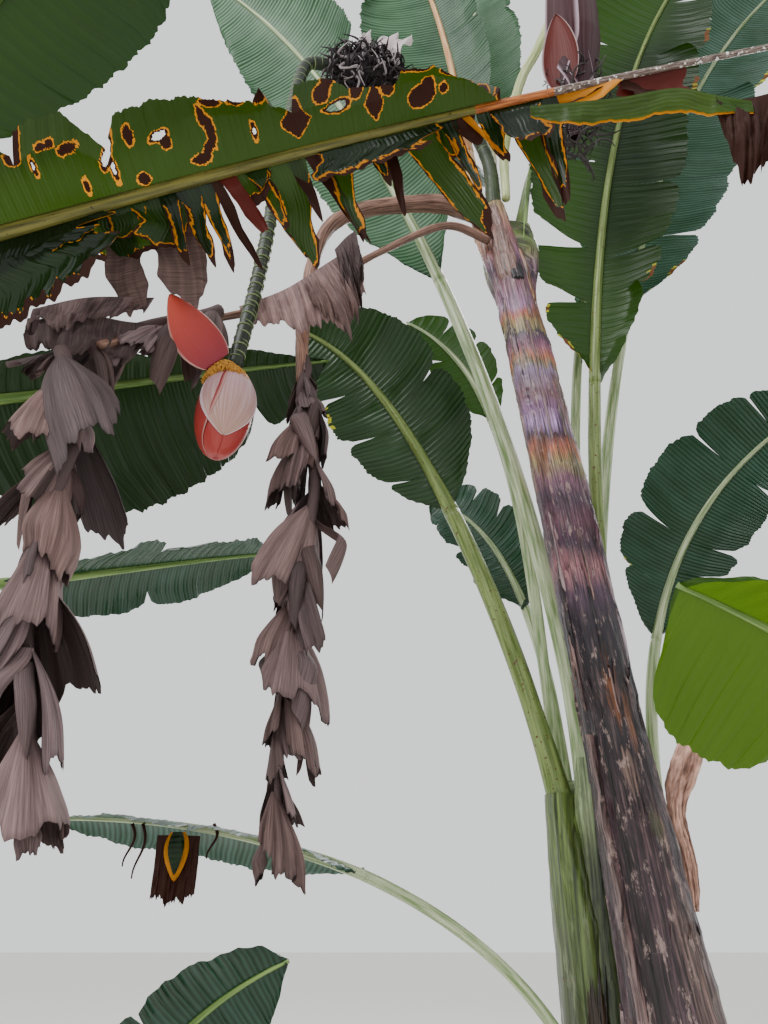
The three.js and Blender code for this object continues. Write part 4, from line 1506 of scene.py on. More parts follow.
@dataclass(frozen=True)
class HoledLeaf(Leaf):
    """The big leaf over the middle: burnt through in many places, torn below, bare at its far end."""

    burns: tuple[Burn, ...] = ()
    ribbons: tuple[Ribbon, ...] = ()
    edge: tuple[tuple[float, float], ...] = ()  # width of the upper half at distances along it
    rust_from: float = 1.78
    bare_from: float = 2.02

    def outline(self, t: np.ndarray) -> np.ndarray:
        """The upper half keeps most of its width up to its torn end."""
        along, width = zip(*self.edge)
        return np.interp(np.asarray(t) * along[-1], along, width) / self.halves[1]

    def damage(self, along: np.ndarray, across: np.ndarray) -> np.ndarray:
        """How far each place is from the nearest burn of the upper half.

        Args:
            along: Distance from the blade's start.
            across: Distance from the midrib.

        Returns:
            The distance in metres, below 0 where the blade is gone.
        """
        far = np.full(np.broadcast(along, across).shape, 1.0)
        rough = 2.5 * MM * mottle(along, across, self.seed, 0.04, 3)
        for burn in self.burns:
            x = (along - burn.along - burn.lean * (across - burn.across)) / burn.long
            y = (across - burn.across) / burn.wide
            shape = (np.abs(x) ** burn.corner + np.abs(y) ** burn.corner) ** (1 / burn.corner)
            distance = (shape - 1) * min(burn.long, burn.wide) * 1.15 + rough
            far = np.minimum(far, distance if burn.through else np.maximum(distance, 2.4 * MM))
        return far

    def ribbon(self, skin: Skin, ribbon: Ribbon, seed: int) -> None:
        """Adds one hanging ribbon.

        Args:
            skin: What it is added to.
            ribbon: Its sizes.
            seed: Its random seed.
        """
        rows = max(5, int((ribbon.end - ribbon.start) / (4.5 * MM)) + 1)
        columns = max(8, int(ribbon.reach / (5.5 * MM)) + 1)
        along = np.linspace(ribbon.start, ribbon.end, rows)
        place, ahead, right, up = self.stations(self.stalk + along)
        v = np.linspace(0, 1, columns)
        offset = along - along.mean()
        half = (ribbon.end - ribbon.start) / 2
        angle = np.radians(self.tilt[0] - self.curl * ease((v - 0.25) / 0.5))
        aim = -right[:, None] * np.cos(angle)[:, None] + up[:, None] * np.sin(angle)[:, None]
        weight = (ribbon.hang * ease(v * 2.2))[None, :, None]
        aim = unit(aim * (1 - weight) + DOWN * weight + ahead[:, None] * ribbon.lean)
        blunt = np.abs(offset / half)
        pointed = 1 - 0.22 * blunt**2.5 if half < 0.1 else 1 - 0.06 * blunt**6
        length = ribbon.reach * pointed * (1 + 0.06 * wander(along, seed, 0.11, 3))
        grid = place[:, None] + before_each(aim * (length[:, None, None] * (v[1] - v[0])), 1)
        normal = -unit(np.cross(aim, ahead[:, None]))
        ripple = wander(along, seed + 1, 0.12, 2)[:, None] + 0.8 * wander(v, seed + 2, 0.9, 2)
        ripple = 6 * MM * v**1.5 * ripple
        fold = ribbon.forward * ease(v * 4) + offset[:, None] * 0.5 * v * math.sin(seed * 1.7)
        grid = grid - normal * (ripple + fold)[..., None]
        sway = 0.07 * wander(v, seed + 3, 0.7, 3)
        share = mix(1.0, ribbon.narrow, v**1.3) * (1 + sway)
        bend = 0.3 * half * wander(v, seed + 4, 1.1, 2) * v
        grid = grid + ahead[:, None] * (offset[:, None] * (share - 1) + bend)[..., None]
        spots = paired(along[:, None], length[:, None] * v)
        side = (half - np.abs(offset))[:, None] * share + 0.03 * ease((0.3 - v) * 4)
        tip = ribbon.tip * (1 + 0.4 * wander(along, seed + 5, 0.05, 2))
        far = np.minimum(side, (1 - v) * ribbon.reach - tip[:, None])
        far = far + 3 * MM * mottle(along[:, None] + seed, v * ribbon.reach, seed, 0.06, 3)
        finish = np.full((rows - 1, columns - 1), int(ribbon.tissue))
        if ribbon.tissue in (Tissue.GREEN, Tissue.SHADED):
            grid, far = settle(grid, far, (ribbon.rim, ribbon.rim + ribbon.halo))
            finish[face_mean(far) < ribbon.rim + ribbon.halo] = Tissue.HALO
            finish[face_mean(far) < ribbon.rim] = Tissue.BURNT
        tint = paper_tint(0.62 * (1 + 0.25 * wander(along, seed + 6, 0.03, 2))[:, None] + 0 * v, 1.0)
        skin.lay(grid, spots, finish, tint=tint, flip=True)

    def half(self, skin: Skin, side: int) -> None:
        """Adds the upper half as a sheet with burns, and the lower one as ribbons."""
        if side == 1:
            super().half(skin, side)
            return
        for n, ribbon in enumerate(self.ribbons):
            self.ribbon(skin, ribbon, self.seed * 50 + n * 7)

    def finishes(self) -> tuple[Enum, ...]:
        """The blade's finishes, in the order of their numbers."""
        more = (Dead.HALO, Dead.BURNT, Stalk.RUST, Stalk.BARE, Green.DARK, Dead.PAPER, Dead.RED)
        return *super().finishes(), *more

    def rib_finish(self, start: float, end: float) -> int | np.ndarray:
        """The midrib is green, then rusty where its blade has just died, then bare and grey."""
        distance = spine_steps(start, end)[:-1] - self.stalk
        kind = np.where(distance < self.bare_from, int(Tissue.RUST), int(Tissue.BARE))
        return np.where(distance < self.rust_from, int(Tissue.SKIN), kind)[:, None]


HOLED_LEAF = HoledLeaf(
    "holed_leaf", LEFT_STEM, height=3.02, side=0, heading=4, sweep=-20, rise=27, droop=33, power=1.3, nod=0,
    stalk=0.27, blade=2.68, halves=(0.33, 0.225), tilt=(-40, 14), bare=0.302, rib=0.026, green=Green.HOLED,
    skin=Stalk.OLD_RIB, tears=(SOUND, Tears(count=2, depth=(0.7, 0.9), hang=(0, 0.03), dry=0)), pleat=30 * MM,
    pleat_height=1.2 * MM, row_gap=3.7 * MM, columns=58, slant=0.1, seed=31,
    edge=(
        (0, 0), (0.05, 0.17), (0.15, 0.25), (0.5, 0.275), (0.64, 0.27), (0.69, 0.2), (0.73, 0.14),
        (0.78, 0.235), (0.9, 0.245), (1.0, 0.23), (1.185, 0.2), (1.213, 0.245), (1.235, 0.19), (1.3, 0.175),
        (1.38, 0.165), (1.43, 0.125), (1.57, 0.118), (1.6, 0.165), (1.69, 0.168), (1.74, 0.14), (1.8, 0.115),
        (1.871, 0.07),
    ),
    burns=tuple(Burn(*row) for row in (
        (0.495, 0.183, 0.017, 0.017, False), (0.500, 0.222, 0.012, 0.030, False),
        (0.540, 0.147, 0.003, 0.010), (0.575, 0.196, 0.008, 0.006, False),
        (0.600, 0.199, 0.008, 0.008, False), (0.640, 0.175, 0.020, 0.014, False, 0.5),
        (0.735, 0.135, 0.012, 0.035, True, 0.4), (0.742, 0.085, 0.005, 0.020),
        (0.655, 0.060, 0.003, 0.009, False), (0.810, 0.168, 0.009, 0.020, False),
        (0.814, 0.038, 0.014, 0.013, False), (0.890, 0.142, 0.020, 0.012, True, 0.6),
        (0.905, 0.122, 0.011, 0.016, False), (1.020, 0.165, 0.007, 0.020, False),
        (1.034, 0.120, 0.009, 0.030, False), (1.020, 0.078, 0.012, 0.020, False, 0.6),
        (0.990, 0.050, 0.020, 0.011, False), (1.060, 0.207, 0.022, 0.011, False),
        (1.155, 0.091, 0.004, 0.012), (1.135, 0.204, 0.018, 0.012, False),
        (1.200, 0.205, 0.010, 0.024, False), (1.228, 0.225, 0.010, 0.024, False),
        (1.277, 0.088, 0.040, 0.044, False, 0.0, 1.15), (1.357, 0.138, 0.018, 0.013, False),
        (1.400, 0.098, 0.030, 0.013, True, 0.0, 1.5), (1.375, 0.165, 0.018, 0.014, False),
        (1.508, 0.082, 0.022, 0.038, False, 0.0, 1.2), (1.456, 0.122, 0.014, 0.015, False),
        (1.550, 0.115, 0.016, 0.017, False), (1.648, 0.075, 0.034, 0.030, False, 0.3),
        (1.668, 0.100, 0.015, 0.020, False), (1.640, 0.170, 0.040, 0.011, False),
        (1.712, 0.080, 0.007, 0.009, False), (1.735, 0.140, 0.020, 0.012, False),
        (1.795, 0.116, 0.010, 0.010, False), (1.845, 0.090, 0.018, 0.016, False),
        (1.880, 0.035, 0.016, 0.030, False),
    )),
    ribbons=(
        Ribbon(0.00, 0.67, 0.12, 0.05, 1.0, Tissue.SHADED, 0.0, 0.0, 4 * MM, 0.0, 0.35),
        Ribbon(0.02, 0.67, 0.27, 0.06, 0.96, Tissue.SHADED, 26 * MM, 2 * MM, 2 * MM, 0.03, 0.5),
        Ribbon(0.60, 0.79, 0.17, 0.10, 0.95, Tissue.GREEN, 14 * MM, 1 * MM, 3 * MM, 0.004, 0.1),
        Ribbon(0.66, 0.76, 0.13, 0.30, 0.8, Tissue.GREEN, 4 * MM),
        Ribbon(0.64, 0.75, 0.34, 0.10, 0.9, Tissue.PAPER, 20 * MM, forward=-0.03),
        Ribbon(0.75, 0.91, 0.18, 0.12, 0.85, Tissue.GREEN, 7 * MM),
        Ribbon(0.77, 0.91, 0.35, 0.20, 0.95, Tissue.PAPER, 26 * MM, forward=-0.035),
        Ribbon(0.83, 0.88, 0.28, 0.20, 0.6, Tissue.SHADED, 40 * MM, forward=0.02),
        Ribbon(0.88, 0.95, 0.28, 0.22, 0.5, Tissue.SHADED, 24 * MM),
        Ribbon(0.935, 0.99, 0.32, 0.24, 0.5, Tissue.SHADED, 60 * MM),
        Ribbon(0.975, 1.015, 0.34, 0.34, 0.5, Tissue.BURNT),
        Ribbon(1.01, 1.06, 0.26, 0.42, 0.75, Tissue.RED, forward=0.02),
        Ribbon(1.05, 1.165, 0.13, 0.20, 0.85, Tissue.GREEN, 30 * MM),
        Ribbon(1.09, 1.15, 0.25, 0.35, 0.6, Tissue.GREEN, 12 * MM, 8 * MM, forward=0.02),
        Ribbon(1.155, 1.275, 0.36, 0.14, 0.6, Tissue.GREEN, 10 * MM),
        Ribbon(1.215, 1.265, 0.22, 0.32, 0.5, Tissue.BURNT, forward=-0.012),
        Ribbon(1.27, 1.325, 0.37, 0.40, 0.45, Tissue.BURNT),
        Ribbon(1.32, 1.40, 0.34, 0.18, 0.45, Tissue.GREEN, 30 * MM, 3 * MM, 8 * MM),
        Ribbon(1.31, 1.68, 0.12, 0.10, 0.95, Tissue.SHADED, 5 * MM, forward=0.03),
        Ribbon(1.44, 1.49, 0.18, 0.35, 0.5, Tissue.SHADED, 34 * MM),
        Ribbon(1.50, 1.545, 0.28, 0.12, 0.5, Tissue.BURNT),
        Ribbon(1.555, 1.67, 0.42, 0.42, 0.6, Tissue.GREEN, 34 * MM, 5 * MM),
        Ribbon(1.665, 1.72, 0.14, 0.15, 0.8, Tissue.GREEN, 8 * MM, 2 * MM, 8 * MM),
        Ribbon(1.68, 1.73, 0.30, 0.25, 0.6, Tissue.SHADED, 12 * MM, forward=0.02),
        Ribbon(1.715, 1.79, 0.12, 0.25, 0.8, Tissue.BURNT),
        Ribbon(1.745, 1.77, 0.20, 0.55, 0.5, Tissue.HALO, forward=0.01),
        Ribbon(1.79, 1.86, 0.20, 0.20, 0.6, Tissue.SHADED, 30 * MM),
        Ribbon(1.83, 1.98, 0.16, 0.20, 0.85, Tissue.SHADED, 10 * MM, forward=0.02),
        Ribbon(1.87, 1.96, 0.40, 0.22, 0.5, Tissue.GREEN, 40 * MM, 6 * MM),
        Ribbon(1.95, 2.03, 0.36, 0.10, 0.45, Tissue.SHADED, 60 * MM, 6 * MM, forward=0.01),
        Ribbon(2.02, 2.19, 0.07, 0.15, 0.95, Tissue.HALO, forward=0.01),
        Ribbon(2.00, 2.16, 0.05, 0.15, 0.95, Tissue.BURNT), Ribbon(2.19, 2.38, 0.12, 0.22, 0.8, Tissue.RED),
        Ribbon(2.20, 2.36, 0.10, 0.22, 0.8, Tissue.BURNT, forward=-0.004),
    ),
)


# Dead leaves


def paper_tint(shade: np.ndarray, warm: float) -> np.ndarray:
    """A colour that dead tissue is multiplied by.

    Args:
        shade: How light each point is.
        warm: From 0, greyish, to 1, reddish.

    Returns:
        Linear colours.
    """
    colour = np.array([1.0, mix(1.0, 0.86, warm), mix(1.04, 0.78, warm), 1.0])
    return np.concatenate([shade[..., None] * colour[:3], np.ones((*shade.shape, 1))], axis=-1)


HOOD_NET, ROLL_NET = (15, 46), (26, 18)  # points down and round a hood and a rolled strip
CORE_RINGS, CORE_SIDES = 60, 10


@dataclass(frozen=True)
class HangingDeadLeaf:
    """A dead leaf that hangs straight down, crumpled into hoods of folded papery blade."""

    name: str
    top: tuple[float, float, float]
    bottom: tuple[float, float, float]
    width: float
    depth: float
    sways: tuple[float, ...]
    hoods: int = 24
    hood: float = 0.3
    node: bool = True  # whether it stands for the CAD node of its name
    seed: int = 1

    def middle(self, t: np.ndarray | float) -> np.ndarray:
        """The place of the leaf's middle at a share of the way down."""
        place = mix(np.array(self.top), np.array(self.bottom), np.asarray(t)[..., None])
        sway = np.interp(t, np.linspace(0, 1, len(self.sways)), self.sways)
        return place + np.asarray(sway)[..., None] * RIGHT

    def fold(self, skin: Skin, number: int, rng: np.random.Generator) -> None:
        """Adds one hood of folded blade: a fan that opens downwards, creased along its veins, lined with a
        darker sheet of painted shade.

        Args:
            skin: What it is added to.
            number: Which hood it is, counted from the top.
            rng: Random numbers.
        """
        start = np.clip((number + rng.uniform(-0.6, 0.6)) / self.hoods, 0, 1) * 0.93
        s, a = lattice(*HOOD_NET, -0.5, 0.5)
        side = 180 if number % 2 else 0
        turn = math.radians(side + rng.uniform(-75, 75) - 35)
        sweep = math.radians(rng.uniform(80, 230))
        angle = a * sweep
        room = float(self.middle(np.array(start))[2]) - self.bottom[2]
        long = min(self.hood * rng.uniform(0.45, 1.1), room / 1.1)
        opening = rng.uniform(0.3, 0.65)
        slope = math.radians(rng.uniform(-24, 24)) * min(1.0, room / 0.3)
        tilt = rng.uniform(0.0, 0.22)
        creases = rng.uniform(1.6, 3.4)
        slant = rng.uniform(-0.5, 0.5)
        phase = a * creases + 0.5 * wander(a, int(rng.integers(1, 9999)), 0.7, 2)
        crease = 4 * np.abs(phase - np.round(phase)) - 1
        ragged = 0.1 * wander(a, int(rng.integers(1, 9999)), 0.5, 4)
        hem = 0.85 + slant * a + ragged - 0.08 * np.abs(2 * a) ** 3
        down = s * long * hem
        reach = down * opening * (1 + 0.24 * crease * ease(s * 1.5)) + 0.008
        reach = reach * (1 + rng.uniform(-0.5, 0.15) * ease((s - 0.65) / 0.35))
        outward = spoke(turn)
        across = np.array([-math.sin(turn), math.cos(turn), 0.0])
        aside = outward * (down * tilt + reach * np.cos(angle) * 0.8)[..., None]
        aside = aside + across * (reach * np.sin(angle) * 1.25)[..., None]
        length = np.linalg.norm(aside, axis=-1, keepdims=True) + 1e-9
        limit = 1.25 * self.width
        aside = aside / length * limit * np.tanh(length / limit)
        leant = aside[..., 0] * math.cos(slope) + down * math.sin(slope)
        sunk = down * math.cos(slope) - aside[..., 0] * math.sin(slope)
        aside = paired(leant, aside[..., 1], 0.0)
        start_place = self.middle(start + s[:, 0] * 0.06)[:, None]
        height = self.middle(np.array(start))[2] - sunk
        grid = start_place * np.array([1, 1, 0]) + aside + height[..., None] * UP
        grid[..., 2] = np.maximum(grid[..., 2], self.bottom[2])
        # a random tone for each hood, lighter on the crease ridges and darker in the folds: painted shade
        shade = rng.uniform(0.5, 1.25) * (1 + 0.2 * crease)
        edge = 1 - 0.35 * ease((s - 0.93) / 0.07)
        place = paired(down, a * sweep * long * 0.35)
        warm = rng.uniform(0, 1)
        skin.lay(grid, place, tint=paper_tint(shade * edge, warm), flip=True)
        # a second sheet just inside the hood, at 0.38 of its tone: painted shade inside the hood
        inner = aside * (1 - 0.003 / (np.linalg.norm(aside, axis=-1, keepdims=True) + 0.003)) - aside
        skin.lay(grid + inner, place, tint=paper_tint(0.38 * shade + 0 * s, warm))

    def roll(self, skin: Skin, rng: np.random.Generator) -> None:
        """Adds one rolled strip of blade that hangs beside the hoods.

        Args:
            skin: What it is added to.
            rng: Random numbers.
        """
        start = rng.uniform(0.02, 0.78)
        s, a = lattice(*ROLL_NET)
        long = rng.uniform(0.14, 0.3)
        turn = rng.uniform(0, 2 * math.pi) + rng.uniform(-1.5, 1.5) * s
        sweep = math.radians(rng.uniform(110, 230))
        size = rng.uniform(0.014, 0.034) * (0.5 + 0.7 * np.sin(math.pi * np.clip(s * 0.85 + 0.1, 0, 1)))
        angle = turn + a * sweep / 2
        away = self.width * rng.uniform(0.35, 0.95) * ease(s * 2)
        x = away * np.cos(turn) + size * np.cos(angle)
        y = away * np.sin(turn) * self.depth / self.width + size * np.sin(angle)
        top = self.middle(np.array(start))
        grid = top + paired(x, y, -s * long * (1 + 0.12 * a))
        grid[..., 2] = np.maximum(grid[..., 2], self.bottom[2])
        place = paired(s * long, a * 0.05)
        shade = rng.uniform(0.35, 1.0) + 0 * s * a
        skin.lay(grid, place, tint=paper_tint(shade, rng.uniform(0, 1)))

    def build(self) -> None:
        """Builds the leaf."""
        skin = Skin()
        rng = np.random.default_rng(self.seed)
        for number in range(self.hoods):
            self.fold(skin, number, rng)
        for _ in range(self.hoods // 2):
            self.roll(skin, rng)
        t = np.linspace(0, 0.97, CORE_RINGS)
        core = self.middle(t) + 0.012 * paired(np.sin(9 * t), np.cos(9 * t), 0.0)
        shade = paper_tint(np.full((CORE_RINGS, CORE_SIDES), 0.6), 0.4)
        tube(skin, core, mix(0.022, 0.008, t), CORE_SIDES, tint=shade)
        piece = skin.build(f"{self.name}_folds", Dead.PAPER)
        dress(piece, "dead_leaf", *([self.name] if self.node else []))


@dataclass(frozen=True)
class Drape:
    """A sheet of dead or living blade that hangs from a line in pleats."""

    line: tuple[tuple[float, float, float], ...]
    drops: tuple[float, ...]
    lean: tuple[float, float, float] = (0.0, 0.0, 0.0)
    pleats: float = 7.0
    pleat_height: float = 14 * MM
    curl: float = 0.0  # how far the hem rolls, in degrees
    shade: float = 1.0
    warm: float = 0.4
    seed: int = 1
    hem: float = 0.2  # how uneven its lower edge is

    def add(self, skin: Skin, finish: int = 0, rows: int = 28, columns: int = 90) -> None:
        """Adds the sheet.

        Args:
            skin: What it is added to.
            finish: Number of its finish.
            rows: Points down the sheet.
            columns: Points along its line.
        """
        points = np.array(self.line)
        drops = np.interp(np.linspace(0, 1, len(points)), np.linspace(0, 1, len(self.drops)), self.drops)
        top, drop = line_through(points, drops, columns)
        ahead, _, _ = frames_along(top, UP)
        out = unit(np.cross(ahead, DOWN))
        s, a = lattice(rows, columns, 0)
        uneven = 0.8 * wander(a[0], self.seed, 0.35) + 0.25 * wander(a[0], self.seed + 1, 0.06)
        drop = drop * (1 + self.hem * uneven)
        roll = math.radians(self.curl) * ease((s - 0.45) / 0.55)
        way = DOWN + np.array(self.lean)
        aim = way * np.cos(roll)[..., None] + out[None] * np.sin(roll)[..., None]
        grid = top[None] + before_each(aim * (1 / (rows - 1) * drop[None, :, None]), 0)
        wave = np.sin(2 * math.pi * (self.pleats * a + 0.35 * wander(a, self.seed + 2, 0.5) + 0.25 * s))
        ripple = self.pleat_height * ease(s * 2.5) * (wave + 0.5 * wander(a * 2 + s, self.seed + 3, 0.7))
        grid = grid + out[None] * ripple[..., None]
        # lighter on the pleats' crests and darker in their troughs, which is painted shade, and darker along
        # the hem
        shade = self.shade * (0.95 + 0.22 * wave - 0.3 * ease((s - 0.9) / 0.1))
        skin.lay(grid, paired(s * drop, run_along(top)[None]), finish, tint=paper_tint(shade, self.warm))


STALK_RINGS, STALK_SIDES = 140, 28


@dataclass(frozen=True)
class DeadStalk:
    """A dead leaf stalk: a dried gutter, pale above and dark below, that has bent over."""

    name: str
    points: tuple[tuple[float, float, float], ...]
    radii: tuple[float, ...]
    seed: int = 1

    def build(self) -> None:
        """Builds the stalk."""
        places, radii = line_through(np.array(self.points), np.array(self.radii), STALK_RINGS)
        angles = np.linspace(0, 2 * math.pi, STALK_SIDES, endpoint=False)[None]
        run = np.linspace(0, 4, len(places))[:, None]
        dent = 1 - 0.3 * np.exp(-(((angles - math.pi / 2) / 0.5) ** 2))
        ridges = np.sin(7 * angles + 2 * wander(run, self.seed, 2.0))
        ridges = 1 + 0.05 * ridges + 0.05 * wander(run, self.seed, 0.4)
        skin = Skin()
        under = 0.5 + 0.5 * np.sin(angles)
        shade = mix(0.5, 1.25, under) * (1 + 0.12 * wander(run, self.seed + 4, 0.5))
        radii = radii[:, None] * dent * ridges * 0.95
        tube(skin, places, radii, STALK_SIDES, facing=UP, tint=paper_tint(shade, 0.6))
        dress(skin.build(f"{self.name}_skin", Dead.STALK), "dead_stalk", self.name)


DEAD_PARTS = (
    DeadStalk(
        "thick_dead_stalk",
        (
            (-0.424, -0.046, 4.11), (-0.569, -0.06, 4.158), (-0.714, -0.08, 4.141), (-0.935, -0.13, 4.038),
            (-1.064, -0.16, 3.855), (-1.103, -0.19, 3.437), (-1.096, -0.2, 3.165),
        ),
        (0.04, 0.039, 0.036, 0.032, 0.028, 0.026, 0.022), seed=5,
    ),
    DeadStalk(
        "thin_dead_stalk",
        (
            (-0.398, -0.042, 3.98), (-0.58, -0.12, 3.973), (-0.835, -0.2, 3.752), (-1.144, -0.27, 3.456),
            (-1.414, -0.37, 3.272), (-1.544, -0.47, 3.134), (-1.614, -0.6, 2.99),
        ),
        (0.02, 0.016, 0.014, 0.014, 0.014, 0.014, 0.014), seed=6,
    ),
    HangingDeadLeaf(
        "centre_dead_leaf", (-1.094, -0.2, 3.13), (-1.094, -0.2, 1.618), 0.104, 0.084,
        (0, 0.026, 0.052, 0.044, 0.014, 0, -0.016, -0.012, 0), seed=8,
    ),
    HangingDeadLeaf(
        "left_dead_leaf", (-1.69, -0.665, 2.93), (-1.521, -0.66, 1.658), 0.088, 0.078,
        (0, 0.03, 0.044, 0.014, -0.01, -0.024, -0.016, -0.006, 0), hoods=17, hood=0.4, seed=9,
    ),
    
    HangingDeadLeaf(
        "left_dead_crown", (-1.36, -0.37, 3.33), (-1.84, -0.66, 2.86), 0.085, 0.075, (0, 0.02, 0, -0.02, 0),
        hoods=11, hood=0.2, node=False, seed=14,
    ),
    HangingDeadLeaf(
        "centre_dead_crown", (-1.10, -0.2, 3.27), (-1.094, -0.2, 2.93), 0.06, 0.055, (0, 0.01, 0), hoods=9,
        hood=0.17, node=False, seed=15,
    ),
)


# Flower parts


def line_object(name: str, places: np.ndarray) -> bpy.types.Object:
    """Makes a curve object.

    Args:
        name: Its name.
        places: The places that it runs through.

    Returns:
        The curve, linked to the scene.
    """
    data = bpy.data.curves.new(name, "CURVE")
    data.dimensions = "3D"
    spline = data.splines.new("POLY")
    spline.points.add(len(places) - 1)
    spline.points.foreach_set("co", np.concatenate([places, np.ones((len(places), 1))], axis=1).ravel())
    return shown(name, data)


Inputs = dict[str, bpy.types.NodeSocket]
JOIN, RANDOM = "ShaderNodeCombineXYZ", "FunctionNodeRandomValue"


def new_tree(name: str, inputs: dict[str, tuple[str, object]]) -> tuple[bpy.types.NodeTree, Inputs]:
    """Starts a Geometry Nodes tree.

    Args:
        name: Its name.
        inputs: The type and the start value of each named input besides the geometry and the material.

    Returns:
        The tree and its inputs by name.
    """
    tree = bpy.data.node_groups.new(name, "GeometryNodeTree")
    tree.interface.new_socket("Geometry", in_out="INPUT", socket_type="NodeSocketGeometry")
    tree.interface.new_socket("Geometry", in_out="OUTPUT", socket_type="NodeSocketGeometry")
    for label, (kind, value) in inputs.items():
        socket = tree.interface.new_socket(label, in_out="INPUT", socket_type=f"NodeSocket{kind}")
        socket.default_value = value
    tree.interface.new_socket("Material", in_out="INPUT", socket_type="NodeSocketMaterial")
    return tree, add_node(tree, "NodeGroupInput").node.outputs


def end_tree(
    tree: bpy.types.NodeTree, instances: bpy.types.NodeSocket, material: bpy.types.NodeSocket
) -> None:
    """Ends a tree: real geometry, shaded smooth, in its material.

    Args:
        tree: The tree.
        instances: What it has made so far.
        material: The material that it was given.
    """
    real = add_node(tree, "GeometryNodeRealizeInstances", {0: instances})
    soft = add_node(tree, "GeometryNodeSetShadeSmooth", {0: real})
    done = add_node(tree, "GeometryNodeSetMaterial", {0: soft, "Material": material})
    add_node(tree, "NodeGroupOutput", {0: done})


def solid_line(
    tree: bpy.types.NodeTree, line: bpy.types.NodeSocket, given: Inputs, sides: int,
    swell: bpy.types.NodeSocket
) -> bpy.types.NodeSocket:
    """Gives a curve in a tree its thickness.

    Args:
        tree: The tree.
        line: The curve.
        given: The tree's inputs, one of them its thickness.
        sides: How many corners its section has.
        swell: The share of the thickness that it has at each place.

    Returns:
        The mesh.
    """
    ring = {"Resolution": sides, "Radius": given["Thickness"]}
    section = add_node(tree, "GeometryNodeCurvePrimitiveCircle", ring)
    parts = {0: line, 1: section, "Scale": swell, "Fill Caps": True}
    return add_node(tree, "GeometryNodeCurveToMesh", parts)


def scar_tree() -> bpy.types.NodeTree:
    """The tree that puts a raised crescent at even steps round a stalk, where bracts have fallen."""
    tree, given = new_tree(
        "bract_scars", {"Count": ("Int", 60), "Radius": ("Float", 0.026), "Thickness": ("Float", 0.004)}
    )
    points = add_node(tree, "GeometryNodeCurveToPoints", {0: given["Geometry"], "Count": given["Count"]})
    arc = {"Resolution": 18, "Radius": given["Radius"], "Sweep Angle": 4.1}
    share = add_node(tree, "GeometryNodeSplineParameter")
    half_turn = add_node(tree, MATH, {0: share, 1: math.pi}, operation="MULTIPLY")
    bulge = add_node(tree, MATH, {0: half_turn}, operation="SINE")
    swollen = add_node(tree, MATH, {0: bulge, 1: 0.12}, operation="ADD")
    shaped = {0: add_node(tree, "GeometryNodeCurveArc", arc), "Radius": swollen}
    crescent = solid_line(tree, add_node(tree, "GeometryNodeSetCurveRadius", shaped), given, 6, swollen)
    spin = add_node(tree, MATH, {0: add_node(tree, "GeometryNodeInputIndex"), 1: 2.4}, operation="MULTIPLY")
    limits = {0: (-0.14, -0.14, 0.0), 1: (0.14, 0.14, 0.6), "Seed": 4}
    wobble = add_node(tree, RANDOM, limits, data_type="FLOAT_VECTOR")
    both = {0: add_node(tree, JOIN, {2: spin}), 1: wobble}
    summed = add_node(tree, "ShaderNodeVectorMath", both, operation="ADD")
    turns = {0: points.node.outputs["Rotation"], 1: summed}
    rotation = add_node(tree, "FunctionNodeRotateRotation", turns, rotation_space="LOCAL")
    placed = {0: points, "Instance": crescent, "Rotation": rotation}
    end_tree(tree, add_node(tree, "GeometryNodeInstanceOnPoints", placed), given["Material"])
    return tree


def tuft_tree() -> bpy.types.NodeTree:
    """The tree that sets curled strands all over a surface, such as stamens or dried flowers."""
    numbers = {"Density": 2000.0, "Length": 0.05, "Thickness": 0.003, "Curl": 0.5, "Spread": 0.6}
    inputs = {name: ("Float", value) for name, value in numbers.items()}
    tree, given = new_tree("strands", {**inputs, "Seed": ("Int", 1)})
    spread = {0: given["Geometry"], "Density": given["Density"], "Seed": given["Seed"]}
    points = add_node(tree, "GeometryNodeDistributePointsOnFaces", spread)
    aside = add_node(tree, MATH, {0: given["Length"], 1: given["Curl"]}, operation="MULTIPLY")
    back = add_node(tree, MATH, {0: aside, 1: -0.9}, operation="MULTIPLY")
    middle, tip = (add_node(tree, JOIN, {0: x, 2: given["Length"]}) for x in (aside, back))
    bow = {"Resolution": 7, "Start": (0.0, 0.0, 0.0), "Middle": middle, "End": tip}
    share = add_node(tree, "GeometryNodeSplineParameter")
    thin = add_node(tree, MATH, {0: share, 1: -0.75, 2: 1.0}, operation="MULTIPLY_ADD")
    body = solid_line(tree, add_node(tree, "GeometryNodeCurveQuadraticBezier", bow), given, 5, thin)
    low = add_node(tree, MATH, {0: given["Spread"], 1: -1.0}, operation="MULTIPLY")
    corners = ((low, -3.1), (given["Spread"], 3.1))
    least, most = (add_node(tree, JOIN, {0: lean, 1: lean, 2: spin}) for lean, spin in corners)
    turn = add_node(tree, RANDOM, {0: least, 1: most, "Seed": given["Seed"]}, data_type="FLOAT_VECTOR")
    turns = {0: points.node.outputs["Rotation"], 1: turn}
    rotation = add_node(tree, "FunctionNodeRotateRotation", turns, rotation_space="LOCAL")
    size = add_node(tree, RANDOM, {2: 0.55, 3: 1.3, "Seed": given["Seed"]}, 1)
    placed = {0: points, "Instance": body, "Rotation": rotation, "Scale": size}
    end_tree(tree, add_node(tree, "GeometryNodeInstanceOnPoints", placed), given["Material"])
    return tree


